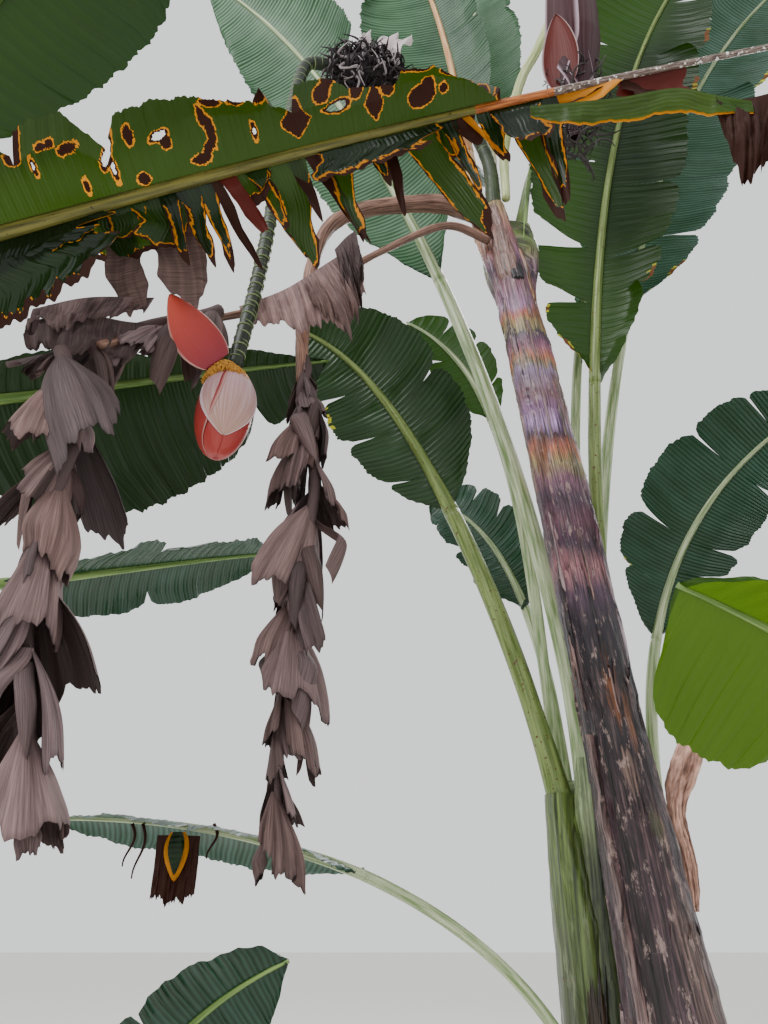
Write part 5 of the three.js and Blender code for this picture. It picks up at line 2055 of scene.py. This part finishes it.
def grow(
    name: str, base: bpy.types.Object, tree: bpy.types.NodeTree, values: dict[str, object]
) -> bpy.types.Object:
    """Runs a Geometry Nodes tree on an object and keeps what it makes as a plain mesh.

    Args:
        name: The new piece's name.
        base: The object that the tree starts from, which is removed.
        tree: The tree.
        values: Its inputs by label.

    Returns:
        The new piece.
    """
    modifier = base.modifiers.new("grow", "NODES")
    modifier.node_group = tree
    for item in tree.interface.items_tree:
        if item.in_out == "INPUT" and item.name in values:
            modifier[item.identifier] = values[item.name]
    graph = bpy.context.evaluated_depsgraph_get()
    graph.update()
    mesh = bpy.data.meshes.new_from_object(base.evaluated_get(graph), depsgraph=graph)
    mesh.name = name
    bpy.data.objects.remove(base)
    return shown(name, mesh)


@dataclass(frozen=True)
class Strands:
    """Flowers or stamens, as strands that stand on a bed of faces."""

    finish: Plain
    density: float  # how many stand on a square metre
    length: float
    thickness: float
    curl: float
    spread: float
    seed: int

    def sow(self, name: str, slot: str, bed: Skin, tree: bpy.types.NodeTree) -> None:
        """Sets the strands.

        Args:
            name: The piece's name.
            slot: The name of a material slot, passed on to dress and not used there.
            bed: The faces that they stand on, which are not kept.
            tree: The tree that sets strands on a surface.
        """
        values = {
            "Density": self.density, "Length": self.length, "Thickness": self.thickness, "Curl": self.curl,
            "Spread": self.spread, "Seed": self.seed, "Material": SHOP.get(self.finish),
        }
        dress(grow(name, bed.build(f"{name}_bed"), tree, values), slot)


GOLDEN = Strands(Plain("golden_flowers", "#c08a3a", roughness=0.7), 26000.0, 0.031, 0.003, 0.35, 0.55, 3)
DRIED_DARK = Strands(Plain("dried_dark_flowers", "#35302f", roughness=0.5), 1100.0, 0.085, 0.006, 0.4, 1.2, 5)
DRIED_BLACK = Strands(
    Plain("dried_black_flowers", "#2a2226", roughness=0.45), 2600.0, 0.05, 0.0062, 0.95, 1.3, 7
)
# grey copies of the black strands, standing among them as painted highlights
DRIED_HIGHLIGHT_STRANDS = Strands(Plain("dried_flowers_painted_highlight", "#9a8f92", roughness=0.5), 700.0, 0.05, 0.0062, 0.95, 1.3, 8)


LIMB_RINGS, LIMB_SIDES = 120, 28


@dataclass(frozen=True)
class Limb:
    """A green flower stalk, round and smooth, along a line."""

    name: str
    points: tuple[tuple[float, float, float], ...]
    radii: tuple[float, ...]
    finish: Streaked

    def line(self, count: int) -> tuple[np.ndarray, np.ndarray]:
        """The limb's middle line and its radii at so many places."""
        return line_through(np.array(self.points), np.array(self.radii), count)

    def build(self) -> None:
        """Builds the limb."""
        places, radii = self.line(LIMB_RINGS)
        skin = Skin()
        uneven = 1 + 0.03 * wander(np.linspace(0, 6, LIMB_RINGS), 3, 0.5)
        tube(skin, places, radii * uneven, LIMB_SIDES, facing=RIGHT)
        dress(skin.build(f"{self.name}_skin", self.finish), "flower_stalk", self.name)


BRACT_NET, SHELL_NET = (36, 25), (44, 40)  # points along and across a flat bract and a wrapped one


def bract_grid(
    root: np.ndarray, tip: np.ndarray, facing: np.ndarray, width: float, cup: float, belly: float,
    edge_wave: float = 0.0,
) -> tuple[np.ndarray, np.ndarray]:
    """A pointed, cupped sheet from its root to its tip.

    Args:
        root: Where it is attached.
        tip: Its far end.
        facing: Direction of its outer, rounded face.
        width: Its full width.
        cup: How deep it is across, as a share of its width.
        belly: How far its middle stands out, in metres.
        edge_wave: How much its edges wave, in metres.

    Returns:
        Its points and its pattern coordinates.
    """
    s, a = lattice(*BRACT_NET)
    ahead = unit(np.asarray(tip) - np.asarray(root))
    across = unit(np.cross(ahead, facing))
    out = np.cross(across, ahead)
    half = width / 2 * np.sin(math.pi * np.clip(0.17 + 0.83 * s**0.85, 0, 1)) ** 0.75
    deep = -cup * width * (1 - np.sqrt(np.clip(1 - 0.92 * a**2, 0, 1)))
    deep = deep * np.sin(math.pi * np.clip(0.15 + 0.8 * s, 0, 1))
    height = belly * np.sin(math.pi * s) + deep + edge_wave * a**4 * np.sin(9 * s + 4 * a)
    middle = mix(np.asarray(root), np.asarray(tip), s[..., None])
    grid = middle + across * (half * a)[..., None] + out * height[..., None]
    return grid, paired(s, a)


def thicken(piece: bpy.types.Object, thickness: float) -> bpy.types.Object:
    """Gives a sheet its thickness, as real geometry.

    Args:
        piece: The sheet.
        thickness: Its thickness in metres.

    Returns:
        The same piece.
    """
    solid = piece.modifiers.new("wall", "SOLIDIFY")
    solid.thickness, solid.offset = thickness, 0
    graph = bpy.context.evaluated_depsgraph_get()
    mesh = bpy.data.meshes.new_from_object(piece.evaluated_get(graph), depsgraph=graph)
    piece.modifiers.clear()
    piece.data = mesh
    return piece


@dataclass(frozen=True)
class OpenBud:
    """The bud at the end of the flower stalk, with one bract lifted off a row of flowers."""

    top: tuple[float, float, float] = (-1.284, -0.394, 3.056)
    tip: tuple[float, float, float] = (-1.304, -0.402, 2.742)
    girth: float = 0.086  # its greatest radius
    bract_root: tuple[float, float, float] = (-1.318, -0.45, 3.05)
    bract_tip: tuple[float, float, float] = (-1.442, -0.6, 3.176)
    bract_width: float = 0.15
    flower_row: tuple[float, float] = (150.0, 375.0)  # the angles from which and to which flowers stand

    def radius(self, down: np.ndarray) -> np.ndarray:
        """Its radius at shares of the way down."""
        round_ = np.sqrt(np.clip(1 - ((down - 0.5) / 0.502) ** 2, 0, 1)) * mix(1.0, 0.93, down)
        return self.girth * np.maximum(round_, 0.03)

    def shell(
        self, start: float, sweep: float, lift: float, long: float = 1.0
    ) -> tuple[np.ndarray, np.ndarray]:
        """A bract wrapped round the bud.

        Args:
            start: Compass angle of its middle, in degrees.
            sweep: How far round it reaches, in degrees.
            lift: How far it stands off the bud, as a share of the radius.
            long: How much of the bud's length it covers.

        Returns:
            Its points and its pattern coordinates.
        """
        s, a = lattice(*SHELL_NET)
        down = s * long
        narrowing = np.clip(1 - (np.maximum(s - 0.28, 0) / 0.723) ** 2, 0, 1) ** 0.62 if long < 1 else 1.0
        angle = math.radians(start) + a * math.radians(sweep / 2) * narrowing
        radius = self.radius(down) * (1 + lift) * (1 + 0.05 * np.abs(a) ** 6)
        middle = mix(np.array(self.top), np.array(self.tip), down[..., None])
        return middle + spoke(angle, radius), paired(s, a)

    def build(self, tufts: bpy.types.NodeTree) -> None:
        """Builds the bud, its lifted bract and its flowers.

        Args:
            tufts: The tree that sets strands on a surface.
        """
        red = Bract("red_bract", "#8e1c30", "#cf4630", "#dba79c", vein=0.03, shine=0.42)
        dim_red = Bract("dim_red_bract", "#7d1a2a", "#b03a34", "#c39089", vein=0.04, shine=0.35)
        pale = Bract("pale_bract", "#bd929f", "#a97f62", "#dcc3cc", vein=0.5, glow_share=0.1, shine=0.5)
        skin = Skin()
        down = np.linspace(0.0, 1.0, 40)
        body = Skin()
        tube(body, mix(np.array(self.top), np.array(self.tip), down[:, None]), 0.94 * self.radius(down), 48)
        dress(body.build("bud_body", Plain("dark_bract", "#8a2430", roughness=0.45)), "red_bract")
        grid, place = self.shell(114, 359.8, -0.02)
        skin.lay(grid, place * np.array([1.0, 0.9]), 1)
        skin.lay(*self.shell(190, 170, 0.014, 0.995), 1)
        skin.lay(*self.shell(-66, 146, 0.035, 0.86))
        dress(thicken(skin.build("bud_bracts", pale, dim_red), 2 * MM), "pale_bud", "bud")
        facing = np.array([0.75, 0.1, -0.65])
        lifted = Skin()
        lifted.lay(*bract_grid(self.bract_root, self.bract_tip, facing, self.bract_width, 0.16, -0.014))
        dress(thicken(lifted.build("raised_bract_shell", red), 4 * MM), "red_bract", "raised_bract")
        self.flowers(tufts)

    def flowers(self, tufts: bpy.types.NodeTree) -> None:
        """Sets the row of golden flowers between the bud and the lifted bract.

        Args:
            tufts: The tree that sets strands on a surface.
        """
        first, last = (math.radians(side) for side in self.flower_row)
        angle = np.linspace(first, last, 40)[:, None]
        s = np.linspace(0, 1, 5)[None]
        middle = paired(self.top[0] - 0.014, self.top[1] - 0.008, self.top[2] + 0.002 - 0.05 * s**2)
        grid = middle + spoke(angle, 0.034 + 0.04 * s) + (0.006 * np.sin(3 * angle))[..., None] * UP
        skin = Skin()
        skin.lay(grid, paired(s + 0 * angle, s), flip=True)
        GOLDEN.sow("bud_flowers", "pale_bud", skin, tufts)


@dataclass(frozen=True)
class PurpleBud:
    """The second, closed bud: maroon bracts with pale margins, one of them half open."""

    points: tuple[tuple[float, float, float], ...] = (
        (-0.01, -0.35, 5.27), (-0.018, -0.35, 5.08), (-0.044, -0.35, 4.74), (-0.072, -0.35, 4.42),
        (-0.096, -0.35, 4.18),
    )
    radii: tuple[float, ...] = (0.048, 0.104, 0.112, 0.078, 0.02)
    turns: tuple[float, ...] = (-60.0, 160.0, 40.0, -130.0, -20.0, 100.0, -95.0)

    def build(self, tufts: bpy.types.NodeTree) -> None:
        """Builds the bud.

        Args:
            tufts: The tree that sets strands on a surface.
        """
        deep = Bract(
            "maroon_bract", "#3a1117", "#2a0f18", "#a08a94", shine=0.5, vein=0.1, glow_share=0.03, gloss=0.15
        )
        inner = Bract(
            "open_maroon_bract", "#4e1714", "#5c201a", "#b9a3a3", shine=0.5, vein=0.08, glow_share=0.03,
            gloss=0.15
        )
        rows, columns = 70, 40
        places, radii = line_through(np.array(self.points), np.array(self.radii), rows)
        skin = Skin()
        for number, turn in enumerate(self.turns):
            first = int(number * rows * 0.07)
            s, a = lattice(rows - first, columns)
            reach = math.radians(105) * (1 - 0.8 * ease((s - 0.5) / 0.5)) + 0.1
            angle = math.radians(turn) + a * reach
            lift = 1.0 - 0.015 * number + 0.05 * np.abs(a) ** 5 + 0.02 * np.sin(5 * s + number)
            skin.lay(places[first:, None] + spoke(angle, radii[first:, None] * lift), paired(s, a))
        tube(skin, places[2:-2], (radii * 0.9)[2:-2], 24)
        root, tip, facing = (-0.12, -0.40, 4.42), (-0.135, -0.47, 4.76), np.array([0.5, 0.7, 0.1])
        skin.lay(*bract_grid(root, tip, facing, 0.15, 0.25, 0.01), 1)
        dress(skin.build("second_bud_bracts", deep, inner), "purple_bud", "second_bud")
        ball = Skin()
        low, size = line_through(np.array(self.points[2:]), np.array([0.02, 0.075, 0.02]), 12)
        tube(ball, low + np.array([0.0, 0.0, -0.1]), size, 14)
        DRIED_DARK.sow("second_bud_dried_flowers", "dried_flowers", ball, tufts)


@dataclass(frozen=True)
class DriedBunch:
    """What is left where the fruit stood: a lump of stalk with black, curled flowers."""

    points: tuple[tuple[float, float, float], ...] = (
        (-0.75, -0.174, 4.807), (-0.84, -0.2, 4.8), (-0.94, -0.228, 4.778), (-1.03, -0.254, 4.758),
    )
    radii: tuple[float, ...] = (0.035, 0.072, 0.078, 0.035)

    def build(self, tufts: bpy.types.NodeTree) -> None:
        """Builds the bunch.

        Args:
            tufts: The tree that sets strands on a surface.
        """
        places, radii = line_through(np.array(self.points), np.array(self.radii), 24)
        skin = Skin()
        tube(skin, places, radii, 18)
        dress(skin.build("dried_bunch_core", DRIED_BLACK.finish), "dried_flowers", "dried_bunch")
        pink = Bract("old_pink_bract", "#b09aa0", "#cdb9bb", "#ece2e2", vein=0.6, glow_share=0.1)
        papers = Skin()
        for root, tip, facing, width in (
            ((-0.86, -0.22, 4.84), (-0.76, -0.24, 5.02), (0.3, -1.0, 0.3), 0.10),
            ((-0.80, -0.24, 4.82), (-0.70, -0.27, 4.95), (-0.2, -1.0, 0.4), 0.07),
            ((-0.93, -0.24, 4.84), (-0.88, -0.27, 4.99), (0.5, -0.9, 0.1), 0.06),
        ):
            papers.lay(*bract_grid(root, tip, facing, width, 0.3, 0.02, 0.02))
        dress(thicken(papers.build("dried_bunch_bracts", pink), 2 * MM), "dried_flowers")
        # the grey strands stand among the black ones as painted highlights
        for name, strands in (("black", DRIED_BLACK), ("grey", DRIED_HIGHLIGHT_STRANDS)):
            strands.sow(f"dried_bunch_{name}_flowers", "dried_flowers", skin, tufts)


RACHIS = Streaked(
    "ringed_flower_stalk", "#151b15", "#29321f", "#20180f", around=0.16, streak=8 * MM, coat=0.05
)
FRUIT_STALK = Limb(
    "fruit_stalk",
    (
        (-0.356, -0.002, 4.216), (-0.37, -0.02, 4.48), (-0.49, -0.09, 4.726), (-0.62, -0.14, 4.808),
        (-0.742, -0.172, 4.808),
    ),
    (0.034, 0.029, 0.027, 0.026, 0.025),
    Streaked("green_flower_stalk", "#1f281c", "#414f33", "#2a2018", coat=0.05),
)
FLOWER_STALK = Limb(
    "flower_stalk",
    (
        (-1.039, -0.254, 4.757), (-1.085, -0.274, 4.752), (-1.14, -0.29, 4.72), (-1.17, -0.3, 4.57),
        (-1.205, -0.326, 4.1), (-1.24, -0.352, 3.515), (-1.282, -0.392, 3.072),
    ),
    (0.026, 0.026, 0.025, 0.025, 0.024, 0.023, 0.024), RACHIS,
)
SECOND_STALK = Limb(
    "second_flower_stalk",
    (
        (-0.31, -0.034, 4.222), (-0.29, -0.04, 4.56), (-0.19, -0.045, 4.97), (-0.096, -0.06, 5.19),
        (0.02, -0.1, 5.5), (0.06, -0.18, 5.74), (0.04, -0.3, 5.76), (0.004, -0.345, 5.56),
        (-0.008, -0.35, 5.29),
    ),
    (0.017, 0.023, 0.023, 0.023, 0.023, 0.023, 0.023, 0.025, 0.03),
    Streaked("pale_flower_stalk", "#8f9f5c", "#d2d8a4", "#6a5a34", around=0.14, streak=9 * MM, coat=0.2),
)


def build_flowers() -> None:
    """Builds both flower stalks with their buds and the dried bunch."""
    tufts, scars = tuft_tree(), scar_tree()
    for limb in (FRUIT_STALK, FLOWER_STALK, SECOND_STALK):
        limb.build()
    pale_scar = SHOP.get(Plain("pale_scars", "#75865a", roughness=0.5))
    for limb, first, count, radius in ((FLOWER_STALK, 0, 104, 0.0238), (FRUIT_STALK, 75, 26, 0.0262)):
        places, _ = limb.line(200)
        values = {"Count": count, "Radius": radius, "Thickness": 0.0028, "Material": pale_scar}
        rings = grow(f"{limb.name}_scars", line_object("scar_line", places[first:-4]), scars, values)
        dress(rings, "flower_stalk")
    OpenBud().build(tufts)
    PurpleBud().build(tufts)
    DriedBunch().build(tufts)


DRAPES = (
    Drape(
        ((-1.30, -0.345, 3.36), (-1.16, -0.335, 3.44), (-1.04, -0.325, 3.55), (-0.94, -0.315, 3.64)),
        (0.06, 0.15, 0.24, 0.20), (0.32, 0.0, 0.0), 13, 6 * MM, 20, 1.7, 0.6, 3,
    ),
    Drape(
        ((-1.10, -0.35, 3.47), (-1.04, -0.345, 3.53), (-0.98, -0.33, 3.60)), (0.10, 0.27, 0.22),
        (0.45, -0.1, 0.0), 8, 9 * MM, 60, 1.25, 0.7, 5,
    ),
    Drape(
        ((-0.99, -0.36, 3.60), (-0.95, -0.36, 3.66), (-0.92, -0.35, 3.70)), (0.24, 0.27, 0.2),
        (0.25, 0.0, 0.0), 2, 12 * MM, 70, 0.45, 0.5, 6,
    ),
    Drape(
        ((-1.80, -0.66, 3.02), (-1.68, -0.64, 3.07), (-1.55, -0.52, 3.14), (-1.44, -0.42, 3.26)),
        (0.10, 0.17, 0.16, 0.08), (0.1, -0.1, 0.0), 6, 16 * MM, 120, 0.45, 0.5, 7,
    ),
    Drape(
        ((-1.78, -0.68, 3.05), (-1.64, -0.67, 3.10), (-1.50, -0.56, 3.20)), (0.08, 0.14, 0.06),
        (-0.2, -0.2, 0.0), 4, 18 * MM, 150, 0.7, 0.4, 8,
    ),
)


STRIP_LINE = (
    (-0.411, -0.9, 3.589), (-0.292, -0.93, 3.564), (-0.172, -0.95, 3.556), (-0.03, -0.97, 3.565),
    (0.063, -0.98, 3.521), (0.141, -1.0, 3.467),
)
FORWARD_STRIP, FORWARD_STRIP_RIM = (
    Drape(STRIP_LINE, drops, (0.0, lean, 0.0), 2.5, 3 * MM, 10, hem=0.08, seed=41)
    for drops, lean in (
        ((0.034, 0.074, 0.07, 0.08, 0.059, 0.035), 0.12), ((0.037, 0.077, 0.073, 0.083, 0.062, 0.038), 0.19)
    )
)
BURNT_END = Drape(
    ((0.068, -0.975, 3.524), (0.124, -0.99, 3.49), (0.21, -1.0, 3.504)), (0.04, 0.254, 0.178),
    (-0.1, 0.15, 0.0), 1.3, 12 * MM, 50, hem=0.12, seed=43,
)
SCORCHED_SCRAP = Drape(
    ((-1.447, 0.0, 1.768), (-1.39, 0.0, 1.768), (-1.328, 0.0, 1.766)), (0.15, 0.17, 0.15), pleats=1.2,
    pleat_height=5 * MM, curl=-12, hem=0.09, seed=44,
)


def build_forward_strip() -> None:
    """Builds the narrow strip of the holed leaf that runs on to the right, and its burnt, curled end."""
    skin = Skin()
    FORWARD_STRIP.add(skin, rows=12)
    FORWARD_STRIP_RIM.add(skin, 1, rows=12)
    BURNT_END.add(skin, 2, columns=40)
    dress(skin.build("holed_leaf_forward_strip", Green.BRIGHT, Dead.HALO, Dead.BURNT), "leaf_blade")


def build_scorched_piece() -> None:
    """Builds the red-brown piece under the sucker's leaf, with its last green tongue."""
    skin = Skin()
    front = (0.1, -1.0, 0.0)
    SCORCHED_SCRAP.add(skin)
    for depth, low, width, finish in ((-0.012, 1.652, 0.066, 1), (-0.018, 1.668, 0.042, 2)):
        grid, place = bract_grid(
            (-1.388, depth, 1.775), (-1.385, depth, low), front, width, 0.1, 0.006, 0.004
        )
        skin.lay(grid, place * np.array([0.15, 0.06]), finish)
    for x, long in ((-1.53, 0.11), (-1.50, 0.14), (-1.30, 0.09)):
        t = np.linspace(0, 1, 14)
        tube(skin, paired(x + 0.012 * np.sin(5 * t), 0.03, 1.80 - long * t), mix(0.005, 0.002, t), 6)
    dress(skin.build("scorched_piece", Dead.BURNT, Dead.HALO, Green.MID), "burnt_blade")


DEAD_SHEATH_NET = (50, 21)  # points up and across the dead sheath on the main stem
DEAD_SHEATH_LINE = (
    (0.0, 0.0, 1.58), (0.005, 0.0, 1.70), (0.006, 0.01, 1.83), (0.05, 0.02, 1.95), (0.1, 0.02, 2.06),
)
DEAD_SHEATH_HALVES = (0.018, 0.024, 0.027, 0.046, 0.04)  # half its width at those points


def build_dead_sheath() -> None:
    """Builds the dead sheath that stands off the main stem's right side."""
    s, a = lattice(*DEAD_SHEATH_NET)
    halves = np.array(DEAD_SHEATH_HALVES)
    line, half = line_through(np.array(DEAD_SHEATH_LINE), halves, DEAD_SHEATH_NET[0])
    line, half = line[:, None], half[:, None] * (1 + 0.35 * wander(a, 4, 0.7) * ease((s - 0.85) / 0.15))
    sway = 0.003 * np.sin(9.0 * s)
    grid = line + RIGHT * (half * a * (1 + 0.1 * wander(s, 5, 0.5)) + sway)[..., None]
    grid = grid - BACK * (0.02 * (1 - a**2) + 0.006 * wander(a + s, 6, 0.4))[..., None]
    spots = 1.15 + 0.35 * mottle(a * 0.06 + 0 * s, s * 0.5 + 0 * a, 8, 0.06)
    sheath = Skin()
    sheath.lay(grid, paired(s * 0.5, a * 0.06), tint=paper_tint(1.45 * spots, 0.35))
    piece = thicken(sheath.build("right_dead_sheath_shell", Dead.STALK), 3 * MM)
    dress(piece, "dead_leaf", "right_dead_sheath")


def build_dead_parts() -> None:
    """Builds the dead stalks and leaves, the burnt pieces and the dead sheath on the main stem."""
    for part in DEAD_PARTS:
        part.build()
    build_scorched_piece()
    build_forward_strip()
    skin = Skin()
    for drape in DRAPES:
        drape.add(skin)
    dress(skin.build("dead_blade_pleats", Dead.PAPER), "dead_leaf", "dead_blade")
    build_dead_sheath()


# Light and camera


@dataclass(frozen=True)
class Studio:
    """The camera at the viewer's eye, the pale floor and the soft light."""

    eye: tuple[float, float, float] = (-0.82, -2.3, 1.6)
    look_up: float = 27.0
    lens: float = 27.0
    sensor: float = 36.0
    floor_half: float = 30.0
    sky: str = "#f4f6f6"
    sky_strength: float = 1.25
    lamps: tuple[tuple, ...] = (
        ("key", (-4.5, -4.0, 7.5), (-0.6, 0, 2.8), 4.0, 420),
        ("back_light", (1.5, 5.0, 8.5), (-0.6, 0, 3.2), 5.0, 700),
    )

    def camera(self) -> None:
        """Sets the camera up."""
        data = bpy.data.cameras.new("eye")
        data.lens, data.sensor_width = self.lens, self.sensor
        data.clip_start = 0.05
        camera = shown("eye", data)
        camera.location = self.eye
        camera.rotation_euler = (math.radians(90 + self.look_up), 0, 0)
        bpy.context.scene.camera = camera

    def lamp(self, name: str, place: tuple, aim: tuple, size: float, power: float) -> None:
        """Adds a square lamp.

        Args:
            name: Its name.
            place: Where it stands.
            aim: The point that it faces.
            size: The length of its side.
            power: Its power in watts.
        """
        data = bpy.data.lights.new(name, "AREA")
        data.shape, data.size, data.energy = "SQUARE", size, power
        lamp = shown(name, data)
        lamp.location = place
        x, y, z = np.subtract(aim, place)
        lamp.rotation_euler = (math.atan2(math.hypot(x, y), -z), 0.0, math.atan2(y, x) - math.pi / 2)

    def build(self) -> None:
        """Adds the floor, the sky light and the lamps."""
        skin = Skin()
        ends = np.array([-self.floor_half, self.floor_half])
        x, y = np.meshgrid(ends, ends)
        skin.lay(paired(x, y, 0.0), paired(x, y))
        floor = skin.build("floor", Plain("pale_floor", "#e9e7e2", roughness=0.9))
        world = bpy.data.worlds.new("soft_sky")
        world.use_nodes = True
        sky = world.node_tree.nodes["Background"]
        sky.inputs["Color"].default_value = linear(self.sky)
        sky.inputs["Strength"].default_value = self.sky_strength
        bpy.context.scene.world = world
        for settings in self.lamps:
            self.lamp(*settings)


STRIP_SPAN = 12  # sheets that reach less far round are narrow strips, in degrees
STRIP_NET, PEEL_NET, BROKEN_NET, SHEATH_NET = (14, 5), (60, 44), (60, 36), (80, 36)  # points down and round


def build_wraps() -> None:
    """Builds the old sheaths on the stems and the sheaths that run down from the leaf stalks."""
    peels = Skin()
    for wrap in old_sheaths():
        wrap.add(peels, *(STRIP_NET if wrap.spans[0] < STRIP_SPAN else PEEL_NET))
    dress(peels.build("main_stem_old_sheaths", STEM_SKIN["wet_dark_sheath"]), "wet_dark_sheath")
    broken = Skin()
    for wrap in SECOND_STEM_SHEATHS:
        wrap.add(broken, *BROKEN_NET)
    dress(broken.build("second_stem_old_sheaths", STEM_SKIN["green_sheath"]), "green_sheath")
    for leaf in (*LEAVES, HOLED_LEAF):
        if leaf.height is None:
            continue
        fresh = Skin()
        over = 0.02 + 0.10 * float(ease((leaf.rise - 50) / 30))
        side, top, lift = math.radians(leaf.side), leaf.height + over, (2 + 0.6 * (leaf.seed % 5)) * MM
        place, half = leaf.stations(np.array([over]))[0][0], float(leaf.rib_half(np.array([over]))[0])
        away = float((place - leaf.stem.middle(top)) @ spoke(side)) + half
        wide = half + float(leaf.flare(np.array([over]))[0])
        bottom = max(leaf.height - leaf.sheath, 0.05)
        sheath = Wrap(
            leaf.stem, leaf.side, top, bottom, (math.degrees(2.15 * wide / (away - half)), leaf.hold),
            outer=away + 2 * MM - lift, lift=lift, colour=leaf.skin.value, fades=True,
            seat=over / (top - bottom), seed=leaf.seed,
        )
        sheath.add(fresh, *SHEATH_NET)
        slot = leaf.stem.slot
        dress(fresh.build(f"{leaf.name}_sheath", STEM_SKIN[slot]), slot)


def main() -> None:
    """Builds the plant, sub-assembly by sub-assembly."""
    logging.basicConfig(level=logging.INFO, format="%(message)s")
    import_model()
    studio = Studio()
    studio.camera()
    for stem in STEMS:
        stem.build()
    for leaf in (*LEAVES, HOLED_LEAF):
        leaf.build()
    build_wraps()
    build_flowers()
    build_dead_parts()
    studio.build()


if __name__ == "__main__":
    main()
